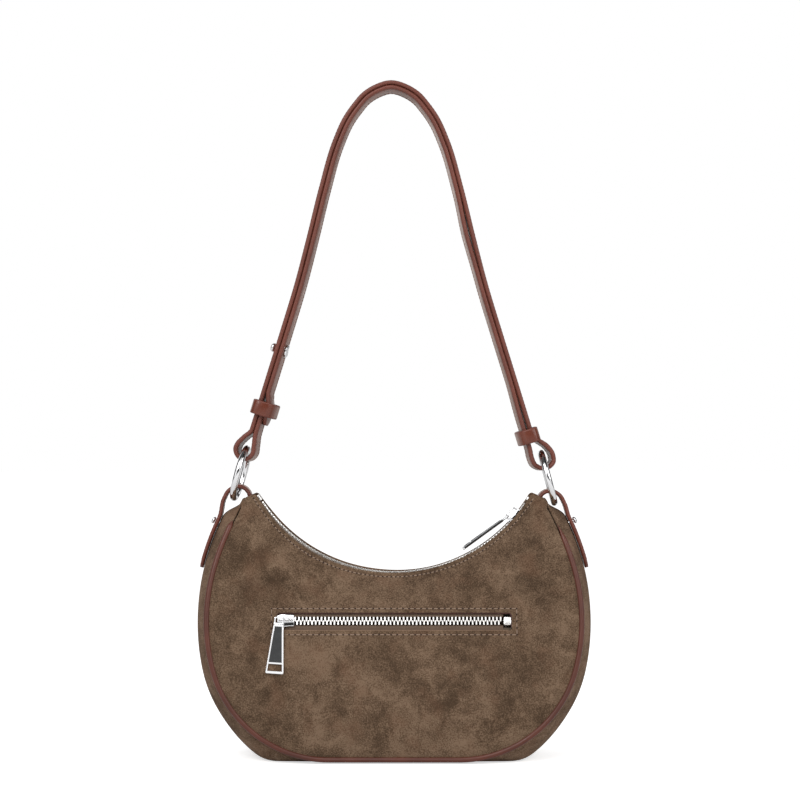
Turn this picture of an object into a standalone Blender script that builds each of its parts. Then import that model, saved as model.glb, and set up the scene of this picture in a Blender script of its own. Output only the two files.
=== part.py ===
"""Half-moon crossbody bag in suede, with two zips and a doubled leather strap.

The bag stands on its flat bottom at Z = 0. Its front looks along -Y and its
right side is +X. Lengths are in metres.
"""

import math

import bmesh
import bpy
from mathutils import Vector

# Seam outline of the panels, seen from the front
SIDE_RADIUS = 0.127
CORNER_RADIUS = 0.0813
CORNER_START_DEG = 16.1
TIP_TURN_DEG = 39.4
TIP_FLARE = 0.0052
SEAM_LIFT = 0.0029

# Concave top edge of the panels
LIP_HEIGHT = 0.1273
LIP_ARC_RADIUS = 0.1088
LIP_HALF_GAP = 0.0095

# Depth of the body from its middle plane to a panel
SEAM_HALF_DEPTH = 0.0355
TIP_HALF_DEPTH = 0.0105
DEPTH_RUN = 0.150
CROWN_MIDDLE = 0.005
CROWN_TIP = 0.0015
DEPTH_POWER = 1.6

# Gusset bulge beyond the seam
BULGE_SIDE = 0.0074
BULGE_CORNER = 0.0127
BULGE_LENGTH_SHARES = (0.29, 0.735)
FLOOR_ROUNDING = 0.004
SHOULDER_START = 0.003
SHOULDER_RUN = 0.017
FLAT_WIDTH_SHARE = 0.7
FLAT_LENGTH_SHARES = (0.26, 0.46)
GUSSET_ROW_SHARES = (-1.0, -0.85, -0.7, -0.35, 0.0, 0.35, 0.7, 0.85, 1.0)

# Walls and running gaps
SUEDE = 0.0018
LINING = 0.0008
GAP = 0.0003
SEAM_STEP = 0.0105
PANEL_ROWS = 8
LINING_GAP = 0.0006

# Piping cord
PIPING_RADIUS = 0.0017
PIPING_END = 0.017
PIPING_ROOM_START = 0.002
PIPING_GAP = 0.0004
PIPING_GUSSET_GAP = 0.0011
PIPING_SIDES = 6

# Base board and lining
BOARD_THICKNESS = 0.0012
BOARD_HALF_LENGTH = 0.044
BOARD_HALF_WIDTH = 0.0235
LINING_TIP_ROOM = 0.007

# Zip chain, shared by both zips
TAPE_THICKNESS = 0.0008
TAPE_REACH = 0.0083
TEETH_HALF_WIDTH = 0.003
TEETH_HALF_HEIGHT = 0.0016
TEETH_HALF_GAP = 0.0006
STOP_HALF_WIDTH = 0.0031
STOP_HALF_HEIGHT = 0.0021
STOP_LENGTH = 0.0045

# Top zip
TOP_ZIP_DROP = 0.0016
TOP_ZIP_TIP_ROOM = 0.0074
TOP_STOP_SPACE = 0.0008
TOP_STOP_LENGTH = 0.0024
TOP_SLIDER_TIP_ROOM = 0.0207
TOP_PULLER_TILT_DEG = 12.5
TOP_ZIP_STEPS = 30

# Pocket on the front panel
POCKET_HALF_LENGTH = 0.080
POCKET_HEIGHT = 0.0956
POCKET_DEPTH = 0.024
POCKET_TILT_DEG = 16.7
SLOT_BELOW = 0.0057
SLOT_ABOVE = 0.0050
SLOT_CUT_DEPTH = 0.008
FLAT_BESIDE_POCKET = 0.010
FLAT_FADE_END_X = 0.120
FLAT_FADE_IN_Z = (0.012, 0.034)
POCKET_STOP_LENGTH = 0.0052
POCKET_SLIDER_END_ROOM = 0.0063
POCKET_PULLER_LEAN_DEG = 4.0
POCKET_PULLER_TILT_DEG = 0.0
POUCH_SIDE_ROOM = 0.0045
POUCH_BOTTOM = 0.040
POUCH_TOP = 0.1065
POUCH_WALL = 0.0007
POUCH_CAVITY = 0.008
POUCH_MOUTH_BELOW = 0.0052
POUCH_MOUTH_ABOVE = 0.0050
POUCH_FADE_X = 0.117
POUCH_FADE_LOW = 0.008
POUCH_FADE_HIGH = 0.127
POUCH_MARGIN = 0.007
POUCH_CLEARANCE = 0.0012
POUCH_COLUMNS = 11
POUCH_ROWS = 7

# Slider of either zip
SLIDER_LENGTH = 0.0115
SLIDER_HALF_WIDTH = 0.00445
SLIDER_PLATE = 0.0011
SLIDER_WIDTH_SHARES = (
    (-0.5, 0.72), (-0.45, 0.86), (-0.34, 0.97), (-0.2, 1.0), (0.0, 0.98),
    (0.18, 0.91), (0.45, 0.89), (0.5, 0.84),
)
BRIDGE_HALF_LENGTH = 0.0044
BRIDGE_RISE = 0.00305
BRIDGE_THICKNESS = 0.001
BRIDGE_HALF_WIDTH = 0.0005
BRIDGE_SHOULDER = 0.0008

# Puller of either zip
PULLER_LENGTH = 0.039
PULLER_TOP_HALF_WIDTH = 0.0034
PULLER_END_HALF_WIDTH = 0.00635
PULLER_THICKNESS = 0.0018
EYE_THICKNESS = 0.001
EYE_LENGTH = 0.0046
EYE_BAR = 0.001
EYE_HALF_OPENING = 0.0023
PULLER_RIM = 0.0012
PULLER_INSET = 0.0005
PULLER_HOLE_LENGTH = 0.0065
PULLER_HOLE_HALF_WIDTH = 0.0045
PULLER_END_BAR = 0.0016

# Rings that carry the strap
RING_WIRE_RADIUS = 0.00225
RING_RADIUS = 0.01775
RING_BEYOND_TIP = 0.00266
RING_ABOVE_TIP = 0.01452
RING_LEFT_LIFT = 0.0032
RING_RIGHT_LIFT = 0.0
RING_LEAN_DEG = 15.0
RING_TURN_LEFT_DEG = 2.0
RING_TURN_RIGHT_DEG = 1.0
RING_STEPS = 32
RING_SIDES = 8

# Tabs that hold the rings
TAB_THICKNESS = 0.0024
TAB_WIDTH = 0.0145
TAB_REACH = 0.008
TAB_ARCH_SHARES = (
    (-1.42, 0.10), (-1.28, 0.50), (-0.95, 0.86), (-0.30, 1.03), (0.40, 0.68), (0.84, -0.05),
)
TAB_LEG_START = 0.0205
TAB_LEG_END = 0.0585
TAB_LEG_STEP = 0.0063
TAB_LEG_CLEARANCE = 0.0004
TAB_STUD_PLACE = 0.0044
TAB_END_SHARES = (0.82, 0.5)
STUD_POST_RADIUS = 0.0012
STUD_BALL_RADIUS = 0.0026
STUD_BALL_FLATNESS = 0.5
STUD_SIDES = 14
BALL_STEPS = 7
BALL_TIP_SHARE = 0.094

# Strap: one strip that runs twice over the arch and round both rings
STRAP_THICKNESS = 0.0028
STRAP_WIDTH = 0.018
STRAP_TOP = 0.4648
STRAP_LEAN = 0.002
ARCH_INSIDE_RING = 0.0066
LEG_END_RISE = 0.023
ARCH_SHARES = (
    (0.0, 0.0), (0.121, 0.014), (0.191, 0.032), (0.262, 0.064), (0.318, 0.096), (0.395, 0.163),
    (0.492, 0.295), (0.573, 0.426), (0.659, 0.558), (0.760, 0.691), (0.863, 0.823), (1.0, 1.0),
)
LAYER_GAP = 0.0013
PRESSED_GAP = 0.0004
LOOP_LEFT_RADIUS = 0.0060
LOOP_RIGHT_RADIUS = 0.0073
LOOP_LEFT_INSIDE_RING = 0.004
LOOP_RIGHT_INSIDE_RING = 0.005
LOOP_LEFT_RISE = 0.0195
LOOP_RIGHT_RISE = 0.0152
LEFT_NECK_RISE = 0.034
TURNED_END_SHARES = (1.50, 1.24, 1.0)
STRAP_TIP_RISE = 0.0372
SPREAD_START_RISE = 0.124
SPREAD_END_RISE = 0.096
THIRD_LAYER_START_RISE = 0.0675
THIRD_LAYER_END_RISE = 0.0545
LOOP_LEFT_DEGREES = (5, -27, -59, -90, -122, -154, -185, -208)
LOOP_RIGHT_DEGREES = (62, 32, 0, -30, -60, -90, -120, -150, -180, -196)
STRAP_STUD_RISE = 0.0893
STRAP_STUD_BALL = 0.0032
STRAP_STUD_FLATNESS = 0.65
STRAP_STUD_DISC = 0.0046
STRAP_STUD_DISC_THICKNESS = 0.0014
STRAP_TIP_LENGTH = 0.009

# Keepers round the strap
KEEPER_HEIGHT = 0.010
KEEPER_WALL = 0.0019
KEEPER_BULGE = 0.0022
KEEPER_POWER = 3.0
KEEPER_CLEARANCE = 0.0004
KEEPER_LEFT_RISE = 0.0487
KEEPER_RIGHT_RISE = 0.0296
KEEPER_STEPS = 28

# Overrun of cutters beyond what they cut
CUT_OVERRUN = 0.001

# Colours, roughness and metallic share of the finishes
SUEDE_FINISH = ((0.190, 0.130, 0.089), 0.95, 0.0)
LEATHER_FINISH = ((0.107, 0.032, 0.020), 0.42, 0.0)
CHROME_FINISH = ((0.78, 0.78, 0.78), 0.10, 1.0)
TAPE_FINISH = ((0.12, 0.076, 0.055), 0.85, 0.0)
LINING_FINISH = ((0.16, 0.12, 0.09), 0.8, 0.0)
BOARD_FINISH = ((0.05, 0.045, 0.04), 0.7, 0.0)

LIP_CENTRE_Z = LIP_HEIGHT + LIP_ARC_RADIUS
CORNER_START = math.radians(CORNER_START_DEG)
TIP_TURN = math.radians(TIP_TURN_DEG)
CORNER_X = (SIDE_RADIUS - CORNER_RADIUS) * math.cos(CORNER_START)
CORNER_Z = SEAM_LIFT + CORNER_RADIUS
SIDE_Z = CORNER_Z + (SIDE_RADIUS - CORNER_RADIUS) * math.sin(CORNER_START)
CORNER_LENGTH = CORNER_RADIUS * (math.pi / 2 - CORNER_START)
SEAM_HALF_LENGTH = CORNER_X + CORNER_LENGTH + SIDE_RADIUS * (CORNER_START + TIP_TURN)
LINING_INSET = SUEDE / 2 + GAP + BOARD_THICKNESS + GAP + LINING / 2
TAPE_PLANE = SUEDE / 2 + GAP + TAPE_THICKNESS / 2
FLAT_FADE_IN_X = (POCKET_HALF_LENGTH + FLAT_BESIDE_POCKET, FLAT_FADE_END_X)
TIP_X = SIDE_RADIUS * math.cos(TIP_TURN) + TIP_FLARE
TIP_Z = SIDE_Z + SIDE_RADIUS * math.sin(TIP_TURN)
TIP_ANGLE = math.atan2(TIP_X, LIP_CENTRE_Z - TIP_Z)
RING_CENTRE_X = TIP_X + RING_BEYOND_TIP
RING_CENTRE_Z = TIP_Z + RING_ABOVE_TIP
TOP_ZIP_HALF_DEG = math.degrees(TIP_ANGLE - TOP_ZIP_TIP_ROOM / (LIP_ARC_RADIUS + TOP_ZIP_DROP))
TOP_SLIDER_DEG = math.degrees(TIP_ANGLE - TOP_SLIDER_TIP_ROOM / (LIP_ARC_RADIUS + TOP_ZIP_DROP))
POCKET_SLIDER_X = POCKET_SLIDER_END_ROOM - POCKET_HALF_LENGTH
POUCH_HALF_LENGTH = POCKET_HALF_LENGTH + POUCH_SIDE_ROOM


def smooth(share):
    """Turn a share into a smooth step from 0 to 1."""
    share = min(1.0, max(0.0, share))
    return share * share * (3 - 2 * share)


def clear_scene():
    """Remove the objects that the scene starts with."""
    for item in list(bpy.data.objects):
        bpy.data.objects.remove(item, do_unlink=True)


def make_material(name, finish):
    """Make a Principled material from a colour, a roughness and a metallic share."""
    colour, roughness, metallic = finish
    material = bpy.data.materials.new(name)
    material.use_nodes = True
    shader = material.node_tree.nodes["Principled BSDF"]
    shader.inputs["Base Color"].default_value = (*colour, 1.0)
    shader.inputs["Roughness"].default_value = roughness
    shader.inputs["Metallic"].default_value = metallic
    return material


def make_object(name, mesh_data, finish, parent=None, origin=None):
    """Make a named object whose origin is where its joint needs it."""
    origin = origin or Vector()
    bmesh.ops.recalc_face_normals(mesh_data, faces=mesh_data.faces)
    bmesh.ops.translate(mesh_data, verts=mesh_data.verts, vec=-origin)
    mesh = bpy.data.meshes.new(name)
    mesh_data.to_mesh(mesh)
    mesh_data.free()
    mesh.shade_smooth()
    mesh.set_sharp_from_angle(angle=math.radians(40))
    item = bpy.data.objects.new(name, mesh)
    item.location = origin
    bpy.context.scene.collection.objects.link(item)
    if finish is not None:
        mesh.materials.append(make_material(name + "_finish", finish))
    if parent is not None:
        item.parent = parent
        item.location = origin - parent.location
    return item


def make_pivot(name, place):
    """Make an empty on a joint axis."""
    pivot = bpy.data.objects.new(name, None)
    pivot.location = place
    bpy.context.scene.collection.objects.link(pivot)
    return pivot


def make_cutter(name, mesh_data):
    """Make a hidden wire object that only cuts."""
    cutter = make_object(name, mesh_data, None)
    cutter.hide_render = True
    cutter.display_type = "WIRE"
    return cutter


def boolean(item, tool, operation="DIFFERENCE"):
    """Cut or join an object with another one."""
    modifier = item.modifiers.new(operation.title(), "BOOLEAN")
    modifier.operation = operation
    modifier.solver = "EXACT"
    modifier.object = tool


def loft(sections, closed=False):
    """Join equal rings of points into one closed body."""
    body = bmesh.new()
    rings = [[body.verts.new(point) for point in section] for section in sections]
    count = len(rings[0])
    pairs = list(zip(rings, rings[1:]))
    if closed:
        pairs.append((rings[-1], rings[0]))
    for near, far in pairs:
        for index in range(count):
            after = (index + 1) % count
            body.faces.new((near[index], near[after], far[after], far[index]))
    if not closed:
        body.faces.new(rings[0])
        body.faces.new(rings[-1])
    return body


def grid_normals(grid):
    """Work out the surface normal at each point of a grid."""
    rows = []
    last_u = len(grid) - 1
    last_v = len(grid[0]) - 1
    for u, column in enumerate(grid):
        row = []
        for v in range(len(column)):
            along = grid[min(u + 1, last_u)][v] - grid[max(u - 1, 0)][v]
            across = grid[u][min(v + 1, last_v)] - grid[u][max(v - 1, 0)]
            row.append(along.cross(across).normalized())
        rows.append(row)
    return rows


def shell(grid, thickness):
    """Give a grid surface an even wall, half to each side, as one closed body."""
    body = bmesh.new()
    normals = grid_normals(grid)
    layers = []
    for side in (thickness / 2, -thickness / 2):
        layers.append([
            [body.verts.new(point + normal * side) for point, normal in zip(points, row)]
            for points, row in zip(grid, normals)
        ])
    last_u = len(grid) - 1
    last_v = len(grid[0]) - 1
    for layer in layers:
        for u in range(last_u):
            for v in range(last_v):
                corners = (layer[u][v], layer[u + 1][v], layer[u + 1][v + 1], layer[u][v + 1])
                body.faces.new(corners)
    outer, inner = layers
    for u in range(last_u):
        for v in (0, last_v):
            body.faces.new((outer[u][v], outer[u + 1][v], inner[u + 1][v], inner[u][v]))
    for v in range(last_v):
        for u in (0, last_u):
            body.faces.new((outer[u][v], outer[u][v + 1], inner[u][v + 1], inner[u][v]))
    return body


def spread(low, high, count):
    """List evenly spaced values from low to high."""
    return [low + (high - low) * index / (count - 1) for index in range(count)]


def spline(points, steps):
    """Run a smooth curve through points, with the given steps between neighbours."""
    padded = [points[0] * 2 - points[1], *points, points[-1] * 2 - points[-2]]
    slopes = []
    for before, here, after in zip(padded, padded[1:], padded[2:]):
        near = (here - before).length
        far = (after - here).length
        slopes.append(((here - before) * (far / near) + (after - here) * (near / far)) / (near + far))
    curve = []
    for index in range(len(points) - 1):
        start, end = points[index], points[index + 1]
        reach = (end - start).length
        for step in range(steps):
            t = step / steps
            curve.append(
                start * (1 + t * t * (2 * t - 3)) + slopes[index] * (reach * t * (1 - t) ** 2)
                + end * (t * t * (3 - 2 * t)) - slopes[index + 1] * (reach * t * t * (1 - t))
            )
    curve.append(points[-1].copy())
    return curve


def path_normals(path):
    """Work out the left-hand normals of a path in the XZ plane."""
    normals = []
    for index in range(len(path)):
        along = path[min(index + 1, len(path) - 1)] - path[max(index - 1, 0)]
        normals.append(Vector((-along.z, 0, along.x)).normalized())
    return normals


def strip_sections(path, thickness, half_widths):
    """Make the four-cornered sections of a flat strip along an XZ path."""
    sections = []
    for point, normal, half in zip(path, path_normals(path), half_widths):
        side = normal * (thickness / 2)
        reach = Vector((0, half, 0))
        sections.append([point + side - reach, point - side - reach,
                         point - side + reach, point + side + reach])
    return sections


def seam_at(place):
    """Give a seam point and its outward normal at a signed length from the bottom middle."""
    length = abs(place)
    if length <= CORNER_X:
        point = Vector((length, 0, SEAM_LIFT))
        normal = Vector((0, 0, -1))
    elif length <= CORNER_X + CORNER_LENGTH:
        turn = (length - CORNER_X) / CORNER_RADIUS
        normal = Vector((math.sin(turn), 0, -math.cos(turn)))
        point = Vector((CORNER_X, 0, CORNER_Z)) + normal * CORNER_RADIUS
    else:
        turn = (length - CORNER_X - CORNER_LENGTH) / SIDE_RADIUS - CORNER_START
        normal = Vector((math.cos(turn), 0, math.sin(turn)))
        point = Vector((0, 0, SIDE_Z)) + normal * SIDE_RADIUS
        point.x += TIP_FLARE * max(0.0, turn / TIP_TURN) ** 4
    side = -1.0 if place < 0 else 1.0
    return Vector((point.x * side, 0, point.z)), Vector((normal.x * side, 0, normal.z))


def from_tip(place):
    """Give the length along the seam from the nearer tip."""
    return SEAM_HALF_LENGTH - abs(place)


def seam_depth(place):
    """Give the distance from the middle plane to the seam."""
    rise = 1 - (1 - min(1.0, from_tip(place) / DEPTH_RUN)) ** 2
    return TIP_HALF_DEPTH + (SEAM_HALF_DEPTH - TIP_HALF_DEPTH) * rise


def seam_room(place, narrow, gap):
    """Give the space left for the piping, which narrows where the seam is plain."""
    wide = PIPING_RADIUS + gap
    run = PIPING_END - SEAM_STEP - PIPING_ROOM_START
    return narrow + (wide - narrow) * smooth((from_tip(place) - PIPING_ROOM_START) / run)


def panel_depth(place, share, x, z, front):
    """Give the distance of a panel's middle surface from the middle plane of the bag."""
    swell = 1 - (1 - share) ** DEPTH_POWER
    middle = math.cos(place / SEAM_HALF_LENGTH * math.pi / 2) ** 2
    crown = CROWN_TIP + (CROWN_MIDDLE - CROWN_TIP) * middle
    depth = LIP_HALF_GAP + (seam_depth(place) - LIP_HALF_GAP) * swell
    depth += crown * math.sin(math.pi * min(1.0, share))
    if not front:
        return depth
    near_x, far_x = FLAT_FADE_IN_X
    near_z, far_z = FLAT_FADE_IN_Z
    flat = smooth((far_x - abs(x)) / (far_x - near_x))
    flat *= smooth((far_z - abs(z - POCKET_HEIGHT)) / (far_z - near_z))
    plane = POCKET_DEPTH + math.tan(math.radians(POCKET_TILT_DEG)) * (POCKET_HEIGHT - z)
    return depth + (plane - depth) * flat


def lip_point(angle, radius):
    """Give a point in the XZ plane by its angle and distance from the top arc's centre."""
    return radius * math.sin(angle), LIP_CENTRE_Z - radius * math.cos(angle)


def column(place, inset):
    """Give the angle and the outer distance of a panel column that ends inside the seam."""
    point, normal = seam_at(place)
    edge = point - normal * inset
    drop = LIP_CENTRE_Z - edge.z
    return math.atan2(edge.x, drop), math.hypot(edge.x, drop)


def seam_places(trim):
    """List places along the seam, from one trimmed tip to the other."""
    half = SEAM_HALF_LENGTH - trim
    return spread(-half, half, 2 * round(half / SEAM_STEP) + 1)


def panel_grid(front):
    """Work out the middle surface of the front or back panel."""
    side = -1 if front else 1
    grid = []
    for place in seam_places(0.0):
        angle, reach = column(place, seam_room(place, GAP, PIPING_GAP))
        points = []
        for share in spread(0.0, 1.0, PANEL_ROWS):
            x, z = lip_point(angle, LIP_ARC_RADIUS + (reach - LIP_ARC_RADIUS) * share)
            points.append(Vector((x, side * panel_depth(place, share, x, z, front), z)))
        grid.append(points)
    return grid


def depth_table():
    """List the angle, outer distance and place of each panel column."""
    rows = []
    for place in seam_places(0.0):
        angle, reach = column(place, 0.0)
        rows.append((angle, reach, place))
    return rows


COLUMNS = depth_table()


def front_depth(x, z):
    """Give the front panel's distance from the middle plane at a place seen from the front."""
    drop = LIP_CENTRE_Z - z
    angle = math.atan2(x, drop)
    for near, far in zip(COLUMNS, COLUMNS[1:]):
        if near[0] <= angle <= far[0]:
            share = (angle - near[0]) / (far[0] - near[0])
            reach = near[1] + (far[1] - near[1]) * share
            place = near[2] + (far[2] - near[2]) * share
            break
    share = (math.hypot(x, drop) - LIP_ARC_RADIUS) / (reach - LIP_ARC_RADIUS)
    return panel_depth(place, min(1.0, max(0.0, share)), x, z, True)


def gusset_point(place, width_share, inset):
    """Give a point of the gusset's middle surface, or of one that lies inside it."""
    point, normal = seam_at(place)
    tip = from_tip(place)
    low, high = BULGE_LENGTH_SHARES
    corner = smooth((high - abs(place) / SEAM_HALF_LENGTH) / (high - low))
    bulge = BULGE_SIDE + (BULGE_CORNER - BULGE_SIDE) * corner
    bulge *= smooth((tip - SHOULDER_START) / SHOULDER_RUN)
    outer = point + normal * bulge
    height = outer.z - SUEDE / 2
    if height < -FLOOR_ROUNDING:
        height = 0.0
    elif height < FLOOR_ROUNDING:
        height = (height + FLOOR_ROUNDING) ** 2 / (4 * FLOOR_ROUNDING)
    outer.z = height + SUEDE / 2
    near, far = FLAT_LENGTH_SHARES
    flat = FLAT_WIDTH_SHARE * smooth((far - abs(place) / SEAM_HALF_LENGTH) / (far - near))
    over = max(0.0, abs(width_share) - flat) / (1 - flat)
    middle = point + (outer - point) * (1 - over ** 2) - normal * inset
    half = seam_depth(place) - max(inset, seam_room(place, SUEDE / 2 + GAP, PIPING_GUSSET_GAP))
    return Vector((middle.x, half * width_share, middle.z))


def build_panels():
    """Build the front panel with its pocket slot, and the plain back panel."""
    front = make_object("front_panel", shell(panel_grid(True), SUEDE), SUEDE_FINISH)
    length = POCKET_HALF_LENGTH
    corners = []
    for across in (-SLOT_BELOW, SLOT_ABOVE):
        for out in (-SLOT_CUT_DEPTH, SLOT_CUT_DEPTH):
            corners.append((across, out))
    order = (corners[0], corners[1], corners[3], corners[2])
    sections = [[pocket_point(x, across, out) for across, out in order] for x in (-length, length)]
    boolean(front, make_cutter("pocket_slot_cutter", loft(sections)))
    make_object("back_panel", shell(panel_grid(False), SUEDE), SUEDE_FINISH)


def build_gusset():
    """Build the strip that joins the panels round the sides and the bottom."""
    grid = []
    for place in seam_places(0.0):
        grid.append([gusset_point(place, share, 0.0) for share in GUSSET_ROW_SHARES])
    return make_object("gusset", shell(grid, SUEDE), SUEDE_FINISH)


def build_piping():
    """Build the leather cord in each panel's seam."""
    for name, side in (("front_piping", -1), ("back_piping", 1)):
        places = seam_places(PIPING_END)
        sections = []
        for place in places:
            point, normal = seam_at(place)
            centre = point + Vector((0, side * seam_depth(place), 0))
            section = []
            for index in range(PIPING_SIDES):
                turn = 2 * math.pi * (index + 1 / 2) / PIPING_SIDES
                section.append(centre + normal * (PIPING_RADIUS * math.cos(turn))
                               + Vector((0, PIPING_RADIUS * math.sin(turn), 0)))
            sections.append(section)
        make_object(name, loft(sections), LEATHER_FINISH)


def pouch_share(x, z):
    """Give how far the lining stands back behind the pocket pouch, as a share."""
    share = smooth((POUCH_FADE_X - abs(x)) / (POUCH_FADE_X - POUCH_HALF_LENGTH - POUCH_MARGIN))
    share *= smooth((z - POUCH_FADE_LOW) / (POUCH_BOTTOM - POUCH_MARGIN - POUCH_FADE_LOW))
    return share * smooth((POUCH_FADE_HIGH - z) / (POUCH_FADE_HIGH - POUCH_TOP - POUCH_MARGIN))


def build_lining():
    """Build the thin open-topped lining that follows panels and gusset."""
    top = LIP_ARC_RADIUS + TOP_ZIP_DROP + TAPE_THICKNESS / 2 + GAP
    close = SUEDE / 2 + LINING_GAP + LINING / 2
    pouch_room = (pouch_back() + POUCH_CLEARANCE + LINING / 2) - close
    grid = []
    for place in seam_places(LINING_TIP_ROOM):
        angle, reach = column(place, LINING_INSET)
        walls = []
        for front in (True, False):
            side = -1 if front else 1
            wall = []
            for share in spread(0.0, 1.0, PANEL_ROWS):
                x, z = lip_point(angle, top + (reach - top) * share)
                inside = close + (LINING_INSET - close) * share
                if front:
                    inside += pouch_room * pouch_share(x, z)
                wall.append(Vector((x, side * (panel_depth(place, share, x, z, front) - inside), z)))
            walls.append(wall)
        floor = [gusset_point(place, share, LINING_INSET) for share in GUSSET_ROW_SHARES[1:-1]]
        grid.append(walls[0] + floor + walls[1][::-1])
    return make_object("lining", shell(grid, LINING), LINING_FINISH)


def box_body(low, high):
    """Make a plain box between two corners."""
    xs = (low.x, high.x)
    sections = []
    for x in xs:
        sections.append([Vector((x, low.y, low.z)), Vector((x, high.y, low.z)),
                         Vector((x, high.y, high.z)), Vector((x, low.y, high.z))])
    return loft(sections)


def build_base_board():
    """Build the flat board between the gusset and the lining."""
    bottom = SUEDE + GAP
    low = Vector((-BOARD_HALF_LENGTH, -BOARD_HALF_WIDTH, bottom))
    high = Vector((BOARD_HALF_LENGTH, BOARD_HALF_WIDTH, bottom + BOARD_THICKNESS))
    return make_object("base_board", box_body(low, high), BOARD_FINISH)


def top_point(along, across, out):
    """Map zip lengths to the top zip: along its arc, across to the back, out of the bag."""
    radius = LIP_ARC_RADIUS + TOP_ZIP_DROP
    angle = along / radius
    x, z = lip_point(angle, radius - out)
    return Vector((x, across, z))


def pocket_point(along, across, out):
    """Map zip lengths to the pocket: along X, across up the panel, out of the panel."""
    tilt = math.radians(POCKET_TILT_DEG)
    up = Vector((0, math.sin(tilt), math.cos(tilt)))
    outward = Vector((0, -math.cos(tilt), math.sin(tilt)))
    return Vector((along, -POCKET_DEPTH, POCKET_HEIGHT)) + up * across + outward * out


def pocket_zip_point(along, across, out):
    """Map zip lengths to the pocket zip, whose tape lies behind the panel."""
    return pocket_point(along, across, out - TAPE_PLANE)


def zip_bar(place, along, across, out):
    """Make a bar of a zip between limits along, across and out of it."""
    sections = []
    for length in along:
        sections.append([place(length, across[0], out[0]), place(length, across[1], out[0]),
                         place(length, across[1], out[1]), place(length, across[0], out[1])])
    return loft(sections)


def build_zip(prefix, names, place, along):
    """Build the two tapes and the two rows of teeth of a zip."""
    tape_out = (-TAPE_THICKNESS / 2, TAPE_THICKNESS / 2)
    teeth_out = (-TEETH_HALF_HEIGHT, TEETH_HALF_HEIGHT)
    for name, side in names:
        tape = sorted((side * (TEETH_HALF_WIDTH + GAP), side * TAPE_REACH))
        teeth = sorted((side * TEETH_HALF_GAP, side * TEETH_HALF_WIDTH))
        make_object(prefix + "_tape_" + name, zip_bar(place, along, tape, tape_out), TAPE_FINISH)
        make_object(prefix + "_teeth_" + name, zip_bar(place, along, teeth, teeth_out), CHROME_FINISH)


def build_top_zip():
    """Build the main zip's tapes, teeth and stops along the top arc."""
    radius = LIP_ARC_RADIUS + TOP_ZIP_DROP
    half = math.radians(TOP_ZIP_HALF_DEG) * radius
    along = spread(-half, half, TOP_ZIP_STEPS)
    build_zip("top", (("front", -1), ("back", 1)), top_point, along)
    start = half + TOP_STOP_SPACE
    height = (-STOP_HALF_HEIGHT, STOP_HALF_HEIGHT)
    width = (-STOP_HALF_WIDTH, STOP_HALF_WIDTH)
    end = (-start - STOP_LENGTH, -start)
    make_object("top_end_stop", zip_bar(top_point, end, width, height), CHROME_FINISH)
    for name, side in (("front", -1), ("back", 1)):
        across = sorted((side * TEETH_HALF_GAP, side * STOP_HALF_WIDTH))
        along = (start, start + TOP_STOP_LENGTH)
        make_object("top_stop_" + name, zip_bar(top_point, along, across, height), CHROME_FINISH)


def build_pocket_zip():
    """Build the pocket zip's tapes, teeth and stops behind the slot."""
    stop = POCKET_HALF_LENGTH - GAP
    along = (-stop, stop - POCKET_STOP_LENGTH - GAP)
    build_zip("pocket", (("lower", -1), ("upper", 1)), pocket_zip_point, along)
    height = (-STOP_HALF_HEIGHT, STOP_HALF_HEIGHT)
    width = (-STOP_HALF_WIDTH, STOP_HALF_WIDTH)
    end = (stop - POCKET_STOP_LENGTH, stop)
    make_object("pocket_end_stop", zip_bar(pocket_zip_point, end, width, height), CHROME_FINISH)


def pouch_front():
    """Give how far behind the panel's middle surface the pouch starts."""
    return SUEDE / 2 + GAP + TAPE_THICKNESS + GAP


def pouch_back():
    """Give how far behind the panel's middle surface the pouch ends."""
    return pouch_front() + POUCH_CAVITY + 2 * POUCH_WALL


def pouch_block(half_length, low, high, near, far):
    """Make a block that follows the panel between two distances behind it."""
    xs = spread(-half_length, half_length, POUCH_COLUMNS)
    zs = spread(low, high, POUCH_ROWS)
    body = bmesh.new()
    walls = []
    for depth in (near, far):
        walls.append([[body.verts.new((x, -front_depth(x, z) + depth, z)) for z in zs] for x in xs])
    last_x = len(xs) - 1
    last_z = len(zs) - 1
    for wall in walls:
        for i in range(last_x):
            for j in range(last_z):
                body.faces.new((wall[i][j], wall[i + 1][j], wall[i + 1][j + 1], wall[i][j + 1]))
    near_wall, far_wall = walls
    for i in range(last_x):
        for j in (0, last_z):
            body.faces.new((near_wall[i][j], near_wall[i + 1][j], far_wall[i + 1][j], far_wall[i][j]))
    for j in range(last_z):
        for i in (0, last_x):
            body.faces.new((near_wall[i][j], near_wall[i][j + 1], far_wall[i][j + 1], far_wall[i][j]))
    return body


def build_pocket_bag():
    """Build the pouch that hangs behind the pocket zip, open towards the slot."""
    front = pouch_front()
    back = pouch_back()
    outer = pouch_block(POUCH_HALF_LENGTH, POUCH_BOTTOM, POUCH_TOP, front, back)
    pouch = make_object("pocket_bag", outer, LINING_FINISH)
    inner = pouch_block(POUCH_HALF_LENGTH - POUCH_WALL, POUCH_BOTTOM + POUCH_WALL,
                        POUCH_TOP - POUCH_WALL, front + POUCH_WALL, back - POUCH_WALL)
    boolean(pouch, make_cutter("pocket_cavity_cutter", inner))
    half = POUCH_HALF_LENGTH - 2 * POUCH_WALL
    near = SLOT_CUT_DEPTH
    far = -front - 2 * POUCH_WALL
    sections = []
    for x in (-half, half):
        sections.append([pocket_point(x, -POUCH_MOUTH_BELOW, far), pocket_point(x, POUCH_MOUTH_ABOVE, far),
                         pocket_point(x, POUCH_MOUTH_ABOVE, near), pocket_point(x, -POUCH_MOUTH_BELOW, near)])
    boolean(pouch, make_cutter("pocket_mouth_cutter", loft(sections)))
    return pouch


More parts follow.
